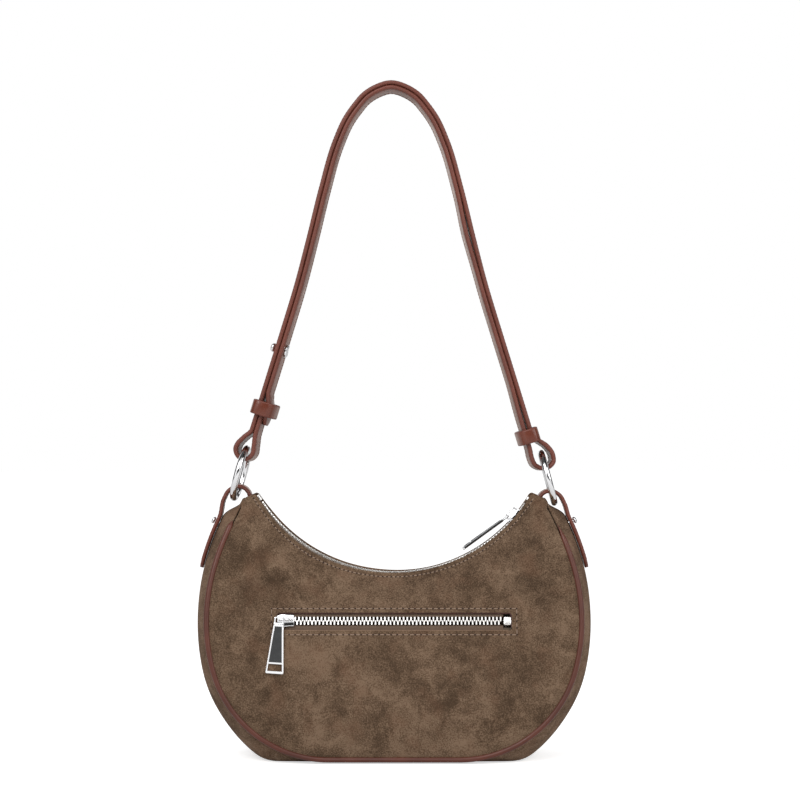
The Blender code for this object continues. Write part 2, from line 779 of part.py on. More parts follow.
def slider_section(half):
    """List the corners of a slider's section: two flanged plates and the blade between."""
    blade = GAP
    inner = TEETH_HALF_HEIGHT + GAP
    outer = inner + SLIDER_PLATE
    lip = TAPE_THICKNESS / 2 + GAP
    wall = TEETH_HALF_WIDTH + GAP
    right = [(blade, inner), (wall, inner), (wall, lip), (half, lip), (half, outer)]
    corners = [(a, -n) for a, n in right[::-1]]
    corners += right
    corners += [(-a, n) for a, n in right[::-1]]
    corners += [(-a, -n) for a, n in right]
    return corners


def build_slider(name, place, centre, parent, origin):
    """Build a slider of two plates, a blade and the bridge that carries the puller."""
    sections = []
    for share, width_share in SLIDER_WIDTH_SHARES:
        along = centre + share * SLIDER_LENGTH
        half = SLIDER_HALF_WIDTH * width_share
        corners = slider_section(max(half, TEETH_HALF_WIDTH + 2 * GAP))
        sections.append([place(along, a, n) for a, n in corners])
    slider = make_object(name, loft(sections), CHROME_FINISH, parent, origin)
    top = TEETH_HALF_HEIGHT + GAP + SLIDER_PLATE
    low = top - SLIDER_PLATE / 2
    rod = top + BRIDGE_RISE
    reach = BRIDGE_HALF_LENGTH
    path = [(-reach, low), (-reach, rod - BRIDGE_SHOULDER), (-reach + BRIDGE_SHOULDER, rod),
            (reach - BRIDGE_SHOULDER, rod), (reach, rod - BRIDGE_SHOULDER), (reach, low)]
    points = [Vector((a, 0, n)) for a, n in path]
    halves = [BRIDGE_HALF_WIDTH] * len(points)
    bridge = []
    for section in strip_sections(points, BRIDGE_THICKNESS, halves):
        bridge.append([place(centre + corner.x, corner.y, corner.z) for corner in section])
    boolean(slider, make_cutter(name + "_bridge", loft(bridge)), "UNION")
    return slider


def plate_sections(stations, place):
    """Turn stations of length, half width and half thickness into puller sections."""
    sections = []
    for length, width, thick in stations:
        sections.append([place(length, -width, -thick), place(length, width, -thick),
                         place(length, width, thick), place(length, -width, thick)])
    return sections


def puller_half_width(length):
    """Give the puller's half width at a length below its eye."""
    share = (length - EYE_LENGTH) / (PULLER_LENGTH - EYE_LENGTH)
    return PULLER_TOP_HALF_WIDTH + (PULLER_END_HALF_WIDTH - PULLER_TOP_HALF_WIDTH) * share


def build_puller(name, place, parent, origin):
    """Build a puller: an eye, a rimmed plate with a blank inset, and a window near its end."""
    thin = EYE_THICKNESS / 2
    thick = PULLER_THICKNESS / 2
    corner = EYE_BAR
    stations = (
        (0.0, PULLER_TOP_HALF_WIDTH - corner, thin),
        (corner, PULLER_TOP_HALF_WIDTH, thin),
        (EYE_LENGTH, PULLER_TOP_HALF_WIDTH, thin),
        (EYE_LENGTH + corner, puller_half_width(EYE_LENGTH + corner), thick),
        (PULLER_LENGTH - corner / 2, puller_half_width(PULLER_LENGTH - corner / 2), thick),
        (PULLER_LENGTH, PULLER_END_HALF_WIDTH - corner / 2, thick),
    )
    puller = make_object(name, loft(plate_sections(stations, place)), CHROME_FINISH, parent, origin)
    deep = PULLER_THICKNESS
    eye = ((EYE_BAR, EYE_HALF_OPENING, deep), (EYE_LENGTH - EYE_BAR / 2, EYE_HALF_OPENING, deep))
    hole_end = PULLER_LENGTH - PULLER_END_BAR
    hole = ((hole_end - PULLER_HOLE_LENGTH, PULLER_HOLE_HALF_WIDTH, deep),
            (hole_end, PULLER_HOLE_HALF_WIDTH, deep))
    inset_top = EYE_LENGTH + corner + PULLER_RIM
    inset_end = hole_end - PULLER_HOLE_LENGTH - PULLER_RIM
    face = PULLER_THICKNESS / 2
    inset = []
    for length in (inset_top, inset_end):
        half = puller_half_width(length) - PULLER_RIM
        inset.append([place(length, -half, face - PULLER_INSET), place(length, half, face - PULLER_INSET),
                      place(length, half, face + CUT_OVERRUN), place(length, -half, face + CUT_OVERRUN)])
    boolean(puller, make_cutter(name + "_eye_cutter", loft(plate_sections(eye, place))))
    boolean(puller, make_cutter(name + "_hole_cutter", loft(plate_sections(hole, place))))
    boolean(puller, make_cutter(name + "_inset_cutter", loft(inset)))
    return puller


def build_top_slider():
    """Build the main zip's slider on its arc, with its puller lying down the slope."""
    radius = LIP_ARC_RADIUS + TOP_ZIP_DROP
    pivot = make_pivot("top_zip_pivot", Vector((0, 0, LIP_CENTRE_Z)))
    centre = math.radians(TOP_SLIDER_DEG) * radius
    middle = top_point(centre, 0, 0)
    slider = build_slider("top_slider", top_point, centre, pivot, middle)
    rod_bottom = TEETH_HALF_HEIGHT + GAP + SLIDER_PLATE + BRIDGE_RISE - BRIDGE_THICKNESS / 2
    bar_along = centre - BRIDGE_HALF_LENGTH + BRIDGE_THICKNESS / 2 + GAP + EYE_BAR / 2
    bar = top_point(bar_along, 0, rod_bottom - GAP - EYE_THICKNESS / 2)
    slope = bar_along / radius - math.radians(TOP_PULLER_TILT_DEG)
    down = Vector((-math.cos(slope), 0, -math.sin(slope)))
    outward = Vector((-math.sin(slope), 0, math.cos(slope)))

    def place(length, width, thick):
        return bar + down * (length - EYE_BAR / 2) + Vector((0, width, 0)) + outward * thick

    return slider, build_puller("top_puller", place, None, bar)


def build_pocket_slider():
    """Build the pocket zip's slider at the closed end, with its puller hanging down."""
    origin = pocket_zip_point(POCKET_SLIDER_X, 0, 0)
    slider = build_slider("pocket_slider", pocket_zip_point, POCKET_SLIDER_X, None, origin)
    rod = TEETH_HALF_HEIGHT + GAP + SLIDER_PLATE + BRIDGE_RISE
    limb = rod - BRIDGE_THICKNESS / 2 - GAP - EYE_THICKNESS / 2
    axis_length = EYE_BAR + GAP + math.hypot(BRIDGE_HALF_WIDTH, BRIDGE_THICKNESS / 2)
    hinge = pocket_zip_point(POCKET_SLIDER_X - BRIDGE_HALF_LENGTH, 0, limb)
    lean = math.radians(POCKET_PULLER_LEAN_DEG)
    tilt = math.radians(POCKET_TILT_DEG - POCKET_PULLER_TILT_DEG)
    up = Vector((0, math.sin(tilt), math.cos(tilt)))
    side = Vector((1, 0, 0)) * math.cos(lean) - up * math.sin(lean)
    down = -up * math.cos(lean) - Vector((1, 0, 0)) * math.sin(lean)
    outward = Vector((0, -math.cos(tilt), math.sin(tilt)))

    def place(length, width, thick):
        return hinge + down * (length - axis_length) + side * width + outward * thick

    return slider, build_puller("pocket_puller", place, None, hinge)


def ring_centre(side):
    """Give a ring's centre: the left ring is pulled up by its loop, the right one hangs slack."""
    lift = RING_LEFT_LIFT if side < 0 else RING_RIGHT_LIFT
    return Vector((side * RING_CENTRE_X, 0, RING_CENTRE_Z + lift))


def ring_bar(side, end):
    """Give the wire's centre at the ring's bottom (end -1) or top (end 1)."""
    lean = math.radians(RING_LEAN_DEG)
    reach = Vector((-side * math.sin(lean), 0, math.cos(lean))) * RING_RADIUS
    return ring_centre(side) + reach * end


def build_ring(name, side, turn_degrees):
    """Build a round wire ring that leans inwards and turns a little."""
    lean = math.radians(RING_LEAN_DEG)
    turn = math.radians(turn_degrees)
    up = Vector((-side * math.sin(lean), 0, math.cos(lean)))
    back = Vector((math.sin(turn), math.cos(turn), 0))
    axis = up.cross(back).normalized()
    back = axis.cross(up)
    centre = ring_centre(side)
    sections = []
    for step in range(RING_STEPS):
        angle = 2 * math.pi * step / RING_STEPS
        out = up * math.cos(angle) + back * math.sin(angle)
        wire = centre + out * RING_RADIUS
        section = []
        for index in range(RING_SIDES):
            spin = 2 * math.pi * index / RING_SIDES
            section.append(wire + (out * math.cos(spin) + axis * math.sin(spin)) * RING_WIRE_RADIUS)
        sections.append(section)
    return make_object(name, loft(sections, closed=True), CHROME_FINISH, None, centre)


def tab_path(side):
    """Give a tab's path as on the right: out of the tip, over the ring's wire and down the gusset."""
    bar = mirrored(ring_bar(side, -1), side)
    points = [bar + Vector((x, 0, z)) * TAB_REACH for x, z in TAB_ARCH_SHARES]
    stand_off = SUEDE / 2 + TAB_LEG_CLEARANCE + TAB_THICKNESS / 2
    count = round((TAB_LEG_END - TAB_LEG_START) / TAB_LEG_STEP) + 1
    for length in spread(TAB_LEG_START, TAB_LEG_END, count):
        place = SEAM_HALF_LENGTH - length
        _, normal = seam_at(place)
        points.append(gusset_point(place, 0.0, 0.0) + normal * stand_off)
    return spline(points, 3)


def stud_body(base, axis, stations):
    """Make a round stud from stations of height along its axis and radius."""
    across = axis.cross(Vector((0, 1, 0))).normalized()
    other = axis.cross(across)
    sections = []
    for height, radius in stations:
        section = []
        for index in range(STUD_SIDES):
            turn = 2 * math.pi * index / STUD_SIDES
            section.append(base + axis * height
                           + (across * math.cos(turn) + other * math.sin(turn)) * radius)
        sections.append(section)
    return loft(sections)


def ball_stations(start, radius, post, flatness):
    """List heights and radii of a flattened ball that sits on a post from a given height."""
    low = math.acos(post / radius)
    height = radius * flatness
    centre = start + height * math.sin(low)
    stations = []
    for angle in spread(-low, math.pi / 2, BALL_STEPS)[:-1]:
        stations.append((centre + height * math.sin(angle), radius * math.cos(angle)))
    stations.append((centre + height, radius * BALL_TIP_SHARE))
    return stations


def mirrored(point, side):
    """Mirror a point or direction to the left when the side is -1."""
    return Vector((point.x * side, point.y, point.z))


def build_tab(name, side, gusset):
    """Build a tab that holds a ring, and the stud that fastens it to the gusset."""
    path = tab_path(side)
    halves = [TAB_WIDTH / 2] * len(path)
    halves[-2:] = [TAB_WIDTH / 2 * share for share in TAB_END_SHARES]
    sections = strip_sections(path, TAB_THICKNESS, halves)
    sections = [[mirrored(corner, side) for corner in section] for section in sections]
    tab = make_object("tab_" + name, loft(sections), LEATHER_FINISH)
    stud_place = SEAM_HALF_LENGTH - TAB_LEG_START - TAB_STUD_PLACE
    _, normal = seam_at(stud_place)
    middle = gusset_point(stud_place, 0.0, 0.0)
    axis = mirrored(normal, side)
    foot = mirrored(middle, side) - axis * (SUEDE / 2)
    reach = SUEDE + TAB_LEG_CLEARANCE + TAB_THICKNESS + GAP
    post = ((-CUT_OVERRUN, STUD_POST_RADIUS + GAP), (reach + CUT_OVERRUN, STUD_POST_RADIUS + GAP))
    hole = make_cutter("tab_hole_cutter_" + name, stud_body(foot, axis, post))
    boolean(tab, hole)
    boolean(gusset, hole)
    stations = [(0.0, STUD_POST_RADIUS), (reach, STUD_POST_RADIUS)]
    stations += ball_stations(reach + GAP, STUD_BALL_RADIUS, STUD_POST_RADIUS, STUD_BALL_FLATNESS)
    make_object("tab_stud_" + name, stud_body(foot, axis, stations), CHROME_FINISH)


def arch_outline():
    """List the strap's outer face from the left neck over the top to the right neck."""
    spread_out = RING_CENTRE_X - ARCH_INSIDE_RING
    drop = STRAP_TOP - RING_CENTRE_Z - LEG_END_RISE
    half = [Vector((x * spread_out, 0, -z * drop)) for x, z in ARCH_SHARES]
    left = [Vector((-point.x, 0, point.z)) for point in half[:0:-1]]
    points = [Vector((point.x - STRAP_LEAN, 0, point.z + STRAP_TOP)) for point in left + half]
    return spline(points, 3)


def leg_at(side, rise):
    """Give a point of the strap's outer face on a leg above the ring, and its outward normal."""
    outline = arch_outline()
    normals = path_normals(outline)
    level = RING_CENTRE_Z + rise
    half = len(outline) // 2
    span = range(half) if side < 0 else range(half, len(outline) - 1)
    for index in span:
        low, high = sorted((outline[index].z, outline[index + 1].z))
        if low <= level <= high:
            share = (level - outline[index].z) / (outline[index + 1].z - outline[index].z)
            break
    return outline[index].lerp(outline[index + 1], share), normals[index].lerp(normals[index + 1], share)


def layer_depth(point, layer):
    """Give how far a layer's middle lies inside the strap's outer face."""
    depth = STRAP_THICKNESS / 2
    if layer == 0:
        return depth
    rise = point.z - RING_CENTRE_Z
    gap = LAYER_GAP
    if point.x < 0:
        near = (SPREAD_START_RISE - rise) / (SPREAD_START_RISE - SPREAD_END_RISE)
        gap += (PRESSED_GAP - LAYER_GAP) * smooth(near)
        near = (THIRD_LAYER_START_RISE - rise) / (THIRD_LAYER_START_RISE - THIRD_LAYER_END_RISE)
        gap += (STRAP_THICKNESS + PRESSED_GAP) * smooth(near)
    return depth + STRAP_THICKNESS + gap


def loop_points(x, rise, radius, degrees):
    """List points of the middle line of a round loop in a ring by their angles."""
    z = RING_CENTRE_Z + rise
    points = []
    for angle in degrees:
        turn = math.radians(angle)
        points.append(Vector((x + radius * math.cos(turn), 0, z + radius * math.sin(turn))))
    return points


def strap_path():
    """List the strap's middle line from its turned-back end to its pointed end."""
    outline = arch_outline()
    normals = path_normals(outline)
    outer = []
    inner = []
    for point, normal in zip(outline, normals):
        rise = point.z - RING_CENTRE_Z
        if point.x > 0 or rise > LEFT_NECK_RISE:
            outer.append(point - normal * layer_depth(point, 0))
        if point.x > 0 or rise > STRAP_TIP_RISE + STRAP_TIP_LENGTH:
            inner.append(point - normal * layer_depth(point, 1))
    turned = []
    for share in TURNED_END_SHARES:
        point, normal = leg_at(-1, LEFT_NECK_RISE * share)
        turned.append(point - normal * (STRAP_THICKNESS * 3 / 2 + PRESSED_GAP))
    neck, normal = leg_at(-1, LEFT_NECK_RISE)
    neck = neck - normal * layer_depth(neck, 0)
    left_loop = loop_points(LOOP_LEFT_INSIDE_RING - RING_CENTRE_X, LOOP_LEFT_RISE,
                            LOOP_LEFT_RADIUS, LOOP_LEFT_DEGREES)
    right_loop = loop_points(RING_CENTRE_X - LOOP_RIGHT_INSIDE_RING, LOOP_RIGHT_RISE,
                             LOOP_RIGHT_RADIUS, LOOP_RIGHT_DEGREES)
    left = spline(turned + left_loop + [neck, outer[0]], 2)
    right = spline([outer[-1]] + right_loop + [inner[-1]], 2)
    tip = []
    for share in spread(0.0, 1.0, 6):
        point, normal = leg_at(-1, STRAP_TIP_RISE + STRAP_TIP_LENGTH * (1 - share))
        tip.append(point - normal * layer_depth(point, 1))
    return left + outer[1:-1] + right + inner[-2::-1] + tip


def strap_half_widths(path):
    """Give the strap's half width along its path, with a round end."""
    half = STRAP_WIDTH / 2
    left = 0.0
    widths = []
    for near, far in zip(path[::-1], path[-2::-1] + [path[0]]):
        over = max(0.0, 1 - (left + STRAP_THICKNESS / 4) / half)
        widths.append(half * math.sqrt(1 - over * over))
        left += (far - near).length
    return widths[::-1]


def build_strap():
    """Build the strap, which closes on itself with a ball stud through both layers."""
    pivot = make_pivot("strap_pivot", (ring_centre(-1) + ring_centre(1)) / 2)
    path = strap_path()
    sections = strip_sections(path, STRAP_THICKNESS, strap_half_widths(path))
    strap = make_object("strap", loft(sections), LEATHER_FINISH, pivot, pivot.location.copy())
    face, axis = leg_at(-1, STRAP_STUD_RISE)
    axis.normalize()
    inside = 2 * STRAP_THICKNESS + PRESSED_GAP
    hole = STUD_POST_RADIUS + GAP
    cut = ((-inside - CUT_OVERRUN, hole), (CUT_OVERRUN, hole))
    boolean(strap, make_cutter("strap_hole_cutter", stud_body(face, axis, cut)))
    disc = -inside - GAP
    back = disc - STRAP_STUD_DISC_THICKNESS
    edge = STRAP_STUD_DISC - STRAP_STUD_DISC_THICKNESS / 3
    stations = [(back, edge), (back + STRAP_STUD_DISC_THICKNESS / 3, STRAP_STUD_DISC),
                (disc, STRAP_STUD_DISC), (disc, STUD_POST_RADIUS), (GAP, STUD_POST_RADIUS)]
    stations += ball_stations(2 * GAP, STRAP_STUD_BALL, STUD_POST_RADIUS, STRAP_STUD_FLATNESS)
    make_object("strap_stud", stud_body(face, axis, stations), CHROME_FINISH, pivot,
                pivot.location.copy())


def build_keeper(name, side, rise, layers):
    """Build an oval band round the strap's layers, which slides along the leg."""
    face, outward = leg_at(side, rise)
    outward.normalize()
    along = Vector((outward.z, 0, -outward.x))
    half = layers / 2
    centre = face - outward * half
    thick = half + KEEPER_BULGE
    fill = 1 - ((half + KEEPER_CLEARANCE) / thick) ** KEEPER_POWER
    wide = (STRAP_WIDTH / 2 + KEEPER_CLEARANCE) / fill ** (1 / KEEPER_POWER)
    sections = []
    for step in range(KEEPER_STEPS):
        turn = 2 * math.pi * (step + 1 / 2) / KEEPER_STEPS
        cosine = math.cos(turn)
        sine = math.sin(turn)
        power = 2 / KEEPER_POWER
        unit_x = math.copysign(abs(cosine) ** power, cosine)
        unit_y = math.copysign(abs(sine) ** power, sine)
        section = []
        for wall, end in ((0.0, -1), (KEEPER_WALL, -1), (KEEPER_WALL, 1), (0.0, 1)):
            across = Vector((0, 1, 0)) * ((wide + wall) * unit_y) + outward * ((thick + wall) * unit_x)
            section.append(centre + across + along * (end * KEEPER_HEIGHT / 2))
        sections.append(section)
    return make_object(name, loft(sections, closed=True), LEATHER_FINISH, None, centre)


def build_part():
    """Build every piece of the bag."""
    clear_scene()
    build_panels()
    gusset = build_gusset()
    build_piping()
    build_lining()
    build_base_board()
    build_top_zip()
    build_pocket_zip()
    build_pocket_bag()
    build_top_slider()
    build_pocket_slider()
    build_ring("ring_left", -1, RING_TURN_LEFT_DEG)
    build_ring("ring_right", 1, RING_TURN_RIGHT_DEG)
    build_tab("left", -1, gusset)
    build_tab("right", 1, gusset)
    build_strap()
    build_keeper("keeper_left", -1, KEEPER_LEFT_RISE, 3 * STRAP_THICKNESS + 2 * PRESSED_GAP)
    build_keeper("keeper_right", 1, KEEPER_RIGHT_RISE, 2 * STRAP_THICKNESS + LAYER_GAP)


build_part()
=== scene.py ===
"""Visual model of a half-moon suede crossbody bag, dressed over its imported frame."""

from __future__ import annotations

import logging
import math
from dataclasses import dataclass
from enum import Enum

import bpy
import numpy as np
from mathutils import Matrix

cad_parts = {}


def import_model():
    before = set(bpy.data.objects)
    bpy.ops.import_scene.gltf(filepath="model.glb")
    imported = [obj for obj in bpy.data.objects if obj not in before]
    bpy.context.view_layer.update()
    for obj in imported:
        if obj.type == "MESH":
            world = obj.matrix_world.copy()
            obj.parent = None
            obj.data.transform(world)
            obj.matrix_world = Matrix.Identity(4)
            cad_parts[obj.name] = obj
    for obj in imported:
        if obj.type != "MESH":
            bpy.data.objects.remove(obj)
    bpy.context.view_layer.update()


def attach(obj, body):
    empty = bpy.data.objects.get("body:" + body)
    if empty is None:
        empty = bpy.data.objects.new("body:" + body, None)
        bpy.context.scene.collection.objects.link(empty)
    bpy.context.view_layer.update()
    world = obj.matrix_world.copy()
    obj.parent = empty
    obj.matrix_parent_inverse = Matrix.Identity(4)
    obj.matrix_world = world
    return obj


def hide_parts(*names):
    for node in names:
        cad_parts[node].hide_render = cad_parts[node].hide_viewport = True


LOG = logging.getLogger("bag")
Array = np.ndarray
Pair = tuple[float, float]
Pairs = tuple[Pair, ...]
Triple = tuple[float, float, float]
Colour = Triple
Material = bpy.types.Material
Socket = bpy.types.NodeSocket


class Slot(Enum):
    """Names of the bag's material slots."""

    SUEDE = "suede"
    PIPING = "piping_leather"
    STRAP = "strap_leather"
    HARDWARE = "bright_hardware"
    FITTING = "zip_fittings"
    TEETH = "zip_teeth"
    TAPE = "zip_tape"
    LINING = "lining_cloth"


SHARP_ANGLE = 35.0
TINY = 1e-12


# Shaping helpers


def smooth(share: Array | float) -> Array:
    """Smooth step: 3 s squared less 2 s cubed, with s held between 0 and 1."""
    share = np.clip(share, 0.0, 1.0)
    return share * share * (3 - 2 * share)


def unit(vectors: Array) -> Array:
    """Divide vectors by their lengths."""
    return vectors / np.maximum(np.linalg.norm(vectors, axis=-1, keepdims=True), TINY)


def xyz(x: Array | float, y: Array | float, z: Array | float) -> Array:
    """Stack three coordinates of any matching shapes into points."""
    return np.stack(np.broadcast_arrays(x, y, z), axis=-1).astype(float)


def surface_normals(grid: Array) -> Array:
    """Unit cross product of a grid's two tangents.

    Args:
        grid: Points in rows and columns.

    Returns:
        One unit normal for each point.
    """
    return unit(np.cross(np.gradient(grid, axis=0), np.gradient(grid, axis=1)))


def spline(points: Array, steps: int) -> Array:
    """Cubic Hermite curve through points, with chord-weighted slopes.

    Args:
        points: Points to pass through.
        steps: Steps between neighbouring points.

    Returns:
        Points of the smooth curve.
    """
    padded = np.vstack([points[:1] * 2 - points[1:2], points, points[-1:] * 2 - points[-2:-1]])
    chords = np.diff(padded, axis=0)
    reach = np.linalg.norm(chords, axis=1)[:, None]
    near, far = reach[:-1], reach[1:]
    slopes = (chords[:-1] * far / near + chords[1:] * near / far) / (near + far)
    t = (np.arange(steps) / steps)[None, :, None]
    start, end = points[:-1, None], points[1:, None]
    span = reach[1:-1][:, None]
    curve = start * (1 + t * t * (2 * t - 3)) + slopes[:-1, None] * span * t * (1 - t) ** 2
    curve = curve + end * t * t * (3 - 2 * t) - slopes[1:, None] * span * t * t * (1 - t)
    return np.vstack([curve.reshape(-1, points.shape[1]), points[-1:]])


def running_length(path: Array) -> Array:
    """Length from a path's first point to each of its points."""
    return np.concatenate([[0.0], np.cumsum(np.linalg.norm(np.diff(path, axis=0), axis=1))])


def resample(path: Array, pitch: float, inset: float = 0.0) -> tuple[Array, Array]:
    """Space points evenly along a path by its running length.

    Args:
        path: Points of the path.
        pitch: Distance between the new points.
        inset: Length left free at each end.

    Returns:
        The new points and the unit tangents there.
    """
    run = running_length(path)
    count = max(2, round((run[-1] - 2 * inset) / pitch) + 1)
    places = np.linspace(inset, run[-1] - inset, count)
    at = []
    for shift in (0.0, -pitch / 8, pitch / 8):
        reach = np.clip(places + shift, 0, run[-1])
        at.append(np.stack([np.interp(reach, run, path[:, k]) for k in range(3)], -1))
    return at[0], unit(at[2] - at[1])


def rounded_section(thickness: float, steps: int) -> tuple[Array, Array, Array, Array]:
    """Flat section with half-round edges.

    Args:
        thickness: Height of the section.
        steps: Steps round each edge.

    Returns:
        The edge that each point belongs to (-1 or 1), its offset past that edge's centre line, its height,
        and the finish from there to the next point: 1 round the edges, 0 on the flats.
    """
    turn = np.linspace(-math.pi / 2, math.pi / 2, steps + 1)
    ones = np.ones_like(turn)
    radius = thickness / 2
    side = np.concatenate([ones, -ones])
    offset = np.concatenate([np.cos(turn), -np.cos(turn)]) * radius
    height = np.concatenate([np.sin(turn), -np.sin(turn)]) * radius
    return side, offset, height, np.tile([1] * steps + [0], 2)


def superellipse(turn: Array, power: float) -> tuple[Array, Array]:
    """Unit superellipse at angles: signed powers of the cosine and the sine."""
    wide, tall = np.cos(turn), np.sin(turn)
    return np.sign(wide) * np.abs(wide) ** power, np.sign(tall) * np.abs(tall) ** power


def full_turn(sides: int) -> Array:
    """Angles of a closed ring's points."""
    return np.linspace(0, 2 * math.pi, sides, endpoint=False)


# Mesh makers


@dataclass
class Solid:
    """Vertices and faces of a closed body, with a finish number for each face."""

    points: Array
    faces: list
    finishes: Array

    @classmethod
    def sweep(cls, rings: Array, closed: bool = False, marks: Array | None = None) -> "Solid":
        """Join equal rings in order, with caps where the run is open.

        Args:
            rings: Rings of points, as run, ring and coordinate.
            closed: Whether the last ring joins the first.
            marks: Finish number for each side of a ring.

        Returns:
            The closed body.
        """
        run, count = rings.shape[:2]
        index = np.arange(run * count).reshape(run, count)
        near = index if closed else index[:-1]
        far = np.roll(index, -1, axis=0) if closed else index[1:]
        quads = np.stack([near, np.roll(near, -1, 1), np.roll(far, -1, 1), far], -1)
        marks = np.zeros(count, int) if marks is None else marks
        finishes = np.broadcast_to(marks, near.shape).reshape(-1)
        faces = quads.reshape(-1, 4).tolist()
        if not closed:
            faces += [index[0][::-1].tolist(), index[-1].tolist()]
            finishes = np.concatenate([finishes, [marks[0], marks[0]]])
        return cls(rings.reshape(-1, 3), faces, finishes)

    @classmethod
    def slab(cls, grid: Array, thickness: float, steps: int = 4) -> "Solid":
        """Give a grid surface a wall with half-round borders along its rows' ends.

        Args:
            grid: Middle surface, as columns along the run and points across.
            thickness: Thickness of the wall.
            steps: Steps round each border.

        Returns:
            The closed body.
        """
        normals = surface_normals(grid) * thickness / 2
        across = unit(np.gradient(grid, axis=1)) * thickness / 2
        turn = np.linspace(0, math.pi, steps + 1)[None, 1:-1, None]
        last = grid[:, -1:] + normals[:, -1:] * np.cos(turn) + across[:, -1:] * np.sin(turn)
        first = grid[:, :1] - normals[:, :1] * np.cos(turn) - across[:, :1] * np.sin(turn)
        rings = np.concatenate([grid + normals, last, (grid - normals)[:, ::-1], first], axis=1)
        return cls.sweep(rings)

    @classmethod
    def copies(cls, shape: "Solid", centres: Array, axes: Array) -> "Solid":
        """Set copies of one shape at many places.

        Args:
            shape: The shape, in its own three lengths.
            centres: Place of each copy.
            axes: Three scaled axes of each copy, as copy, axis and coordinate.

        Returns:
            All copies in one mesh.
        """
        points = centres[:, None] + np.einsum("vk,nkc->nvc", shape.points, axes)
        step = len(shape.points)
        faces = []
        for copy in range(len(centres)):
            faces += [[corner + copy * step for corner in face] for face in shape.faces]
        return cls(points.reshape(-1, 3), faces, np.tile(shape.finishes, len(centres)))

    @classmethod
    def lathe(cls, base: Array, axis: Array, profile: Array, sides: int) -> "Solid":
        """Turn a profile of heights and radii about an axis.

        Args:
            base: Point on the axis at height 0.
            axis: Direction of the axis.
            profile: Heights and radii in order.
            sides: Sides of the turned body.

        Returns:
            The closed body.
        """
        axis = unit(axis)
        across = unit(np.cross(axis, [0.0, 1.0, 0.0]))
        other = np.cross(axis, across)
        turn = full_turn(sides)
        ring = np.cos(turn)[:, None] * across + np.sin(turn)[:, None] * other
        rings = base + profile[:, None, :1] * axis + profile[:, None, 1:] * ring[None]
        return cls.sweep(rings)

    @classmethod
    def tube(cls, path: Array, radius: float, sides: int, closed: bool = False) -> "Solid":
        """Carry a circle along a path that bends mostly in one plane.

        Args:
            path: Centre line.
            radius: Radius of the circle.
            sides: Sides of the circle.
            closed: Whether the path closes on itself.

        Returns:
            The closed body.
        """
        if closed:
            tangent = unit(np.roll(path, -1, 0) - np.roll(path, 1, 0))
        else:
            tangent = unit(np.gradient(path, axis=0))
        flat = np.linalg.svd(path - path.mean(0))[2][2]
        out = unit(np.cross(tangent, flat))
        other = np.cross(tangent, out)
        turn = full_turn(sides)[None, :, None]
        rings = path[:, None] + radius * (np.cos(turn) * out[:, None] + np.sin(turn) * other[:, None])
        return cls.sweep(rings, closed)


def merged(solids: list[Solid]) -> Solid:
    """Put several bodies into one mesh."""
    faces: list = []
    start = 0
    for solid in solids:
        faces += [[corner + start for corner in face] for face in solid.faces]
        start += len(solid.points)
    return Solid(np.vstack([s.points for s in solids]), faces, np.concatenate([s.finishes for s in solids]))


def place_object(name: str, data: bpy.types.ID) -> bpy.types.Object:
    """Make an object of some data and put it in the scene."""
    item = bpy.data.objects.new(name, data)
    bpy.context.scene.collection.objects.link(item)
    return item


def make_mesh(name: str, solid: Solid, finishes: list[Material]) -> bpy.types.Mesh:
    """Make a mesh of a body, with its faces turned outwards."""
    mesh = bpy.data.meshes.new(name)
    mesh.from_pydata(solid.points.tolist(), [], solid.faces)
    for finish in finishes:
        mesh.materials.append(finish)
    mesh.polygons.foreach_set("material_index", solid.finishes.astype(np.int32))
    mesh.update()
    if signed_volume(mesh) < 0:
        mesh.flip_normals()
    return mesh


def add_piece(name: str, solid: Solid, finishes: list[Material], body: str,
              replaces: tuple[str, ...] = (), sharp: float = SHARP_ANGLE) -> bpy.types.Object:
    """Make an object from a body, dress it and let it ride on a CAD body.

    Args:
        name: Name of the piece.
        solid: Its mesh.
        finishes: Materials by finish number.
        body: CAD body that carries the piece.
        replaces: CAD nodes that the piece stands for.
        sharp: Angle past which an edge stays sharp, in degrees.

    Returns:
        The new object.
    """
    mesh = make_mesh(name, solid, finishes)
    mesh.shade_smooth()
    mesh.set_sharp_from_angle(angle=math.radians(sharp))
    item = place_object(name, mesh)
    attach(item, body)
    if replaces:
        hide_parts(*replaces)
    LOG.info("%s: %d faces on %s", name, len(mesh.polygons), body)
    return item


def signed_volume(mesh: bpy.types.Mesh) -> float:
    """Sum of the signed tetrahedra under a mesh's triangles."""
    mesh.calc_loop_triangles()
    corners = np.empty(len(mesh.loop_triangles) * 3, np.int32)
    mesh.loop_triangles.foreach_get("vertices", corners)
    points = np.empty(len(mesh.vertices) * 3, np.float32)
    mesh.vertices.foreach_get("co", points)
    a, b, c = points.reshape(-1, 3)[corners].reshape(-1, 3, 3).transpose(1, 0, 2).astype(float)
    return float(np.einsum("ij,ij->i", a, np.cross(b, c)).sum())


# Finishes


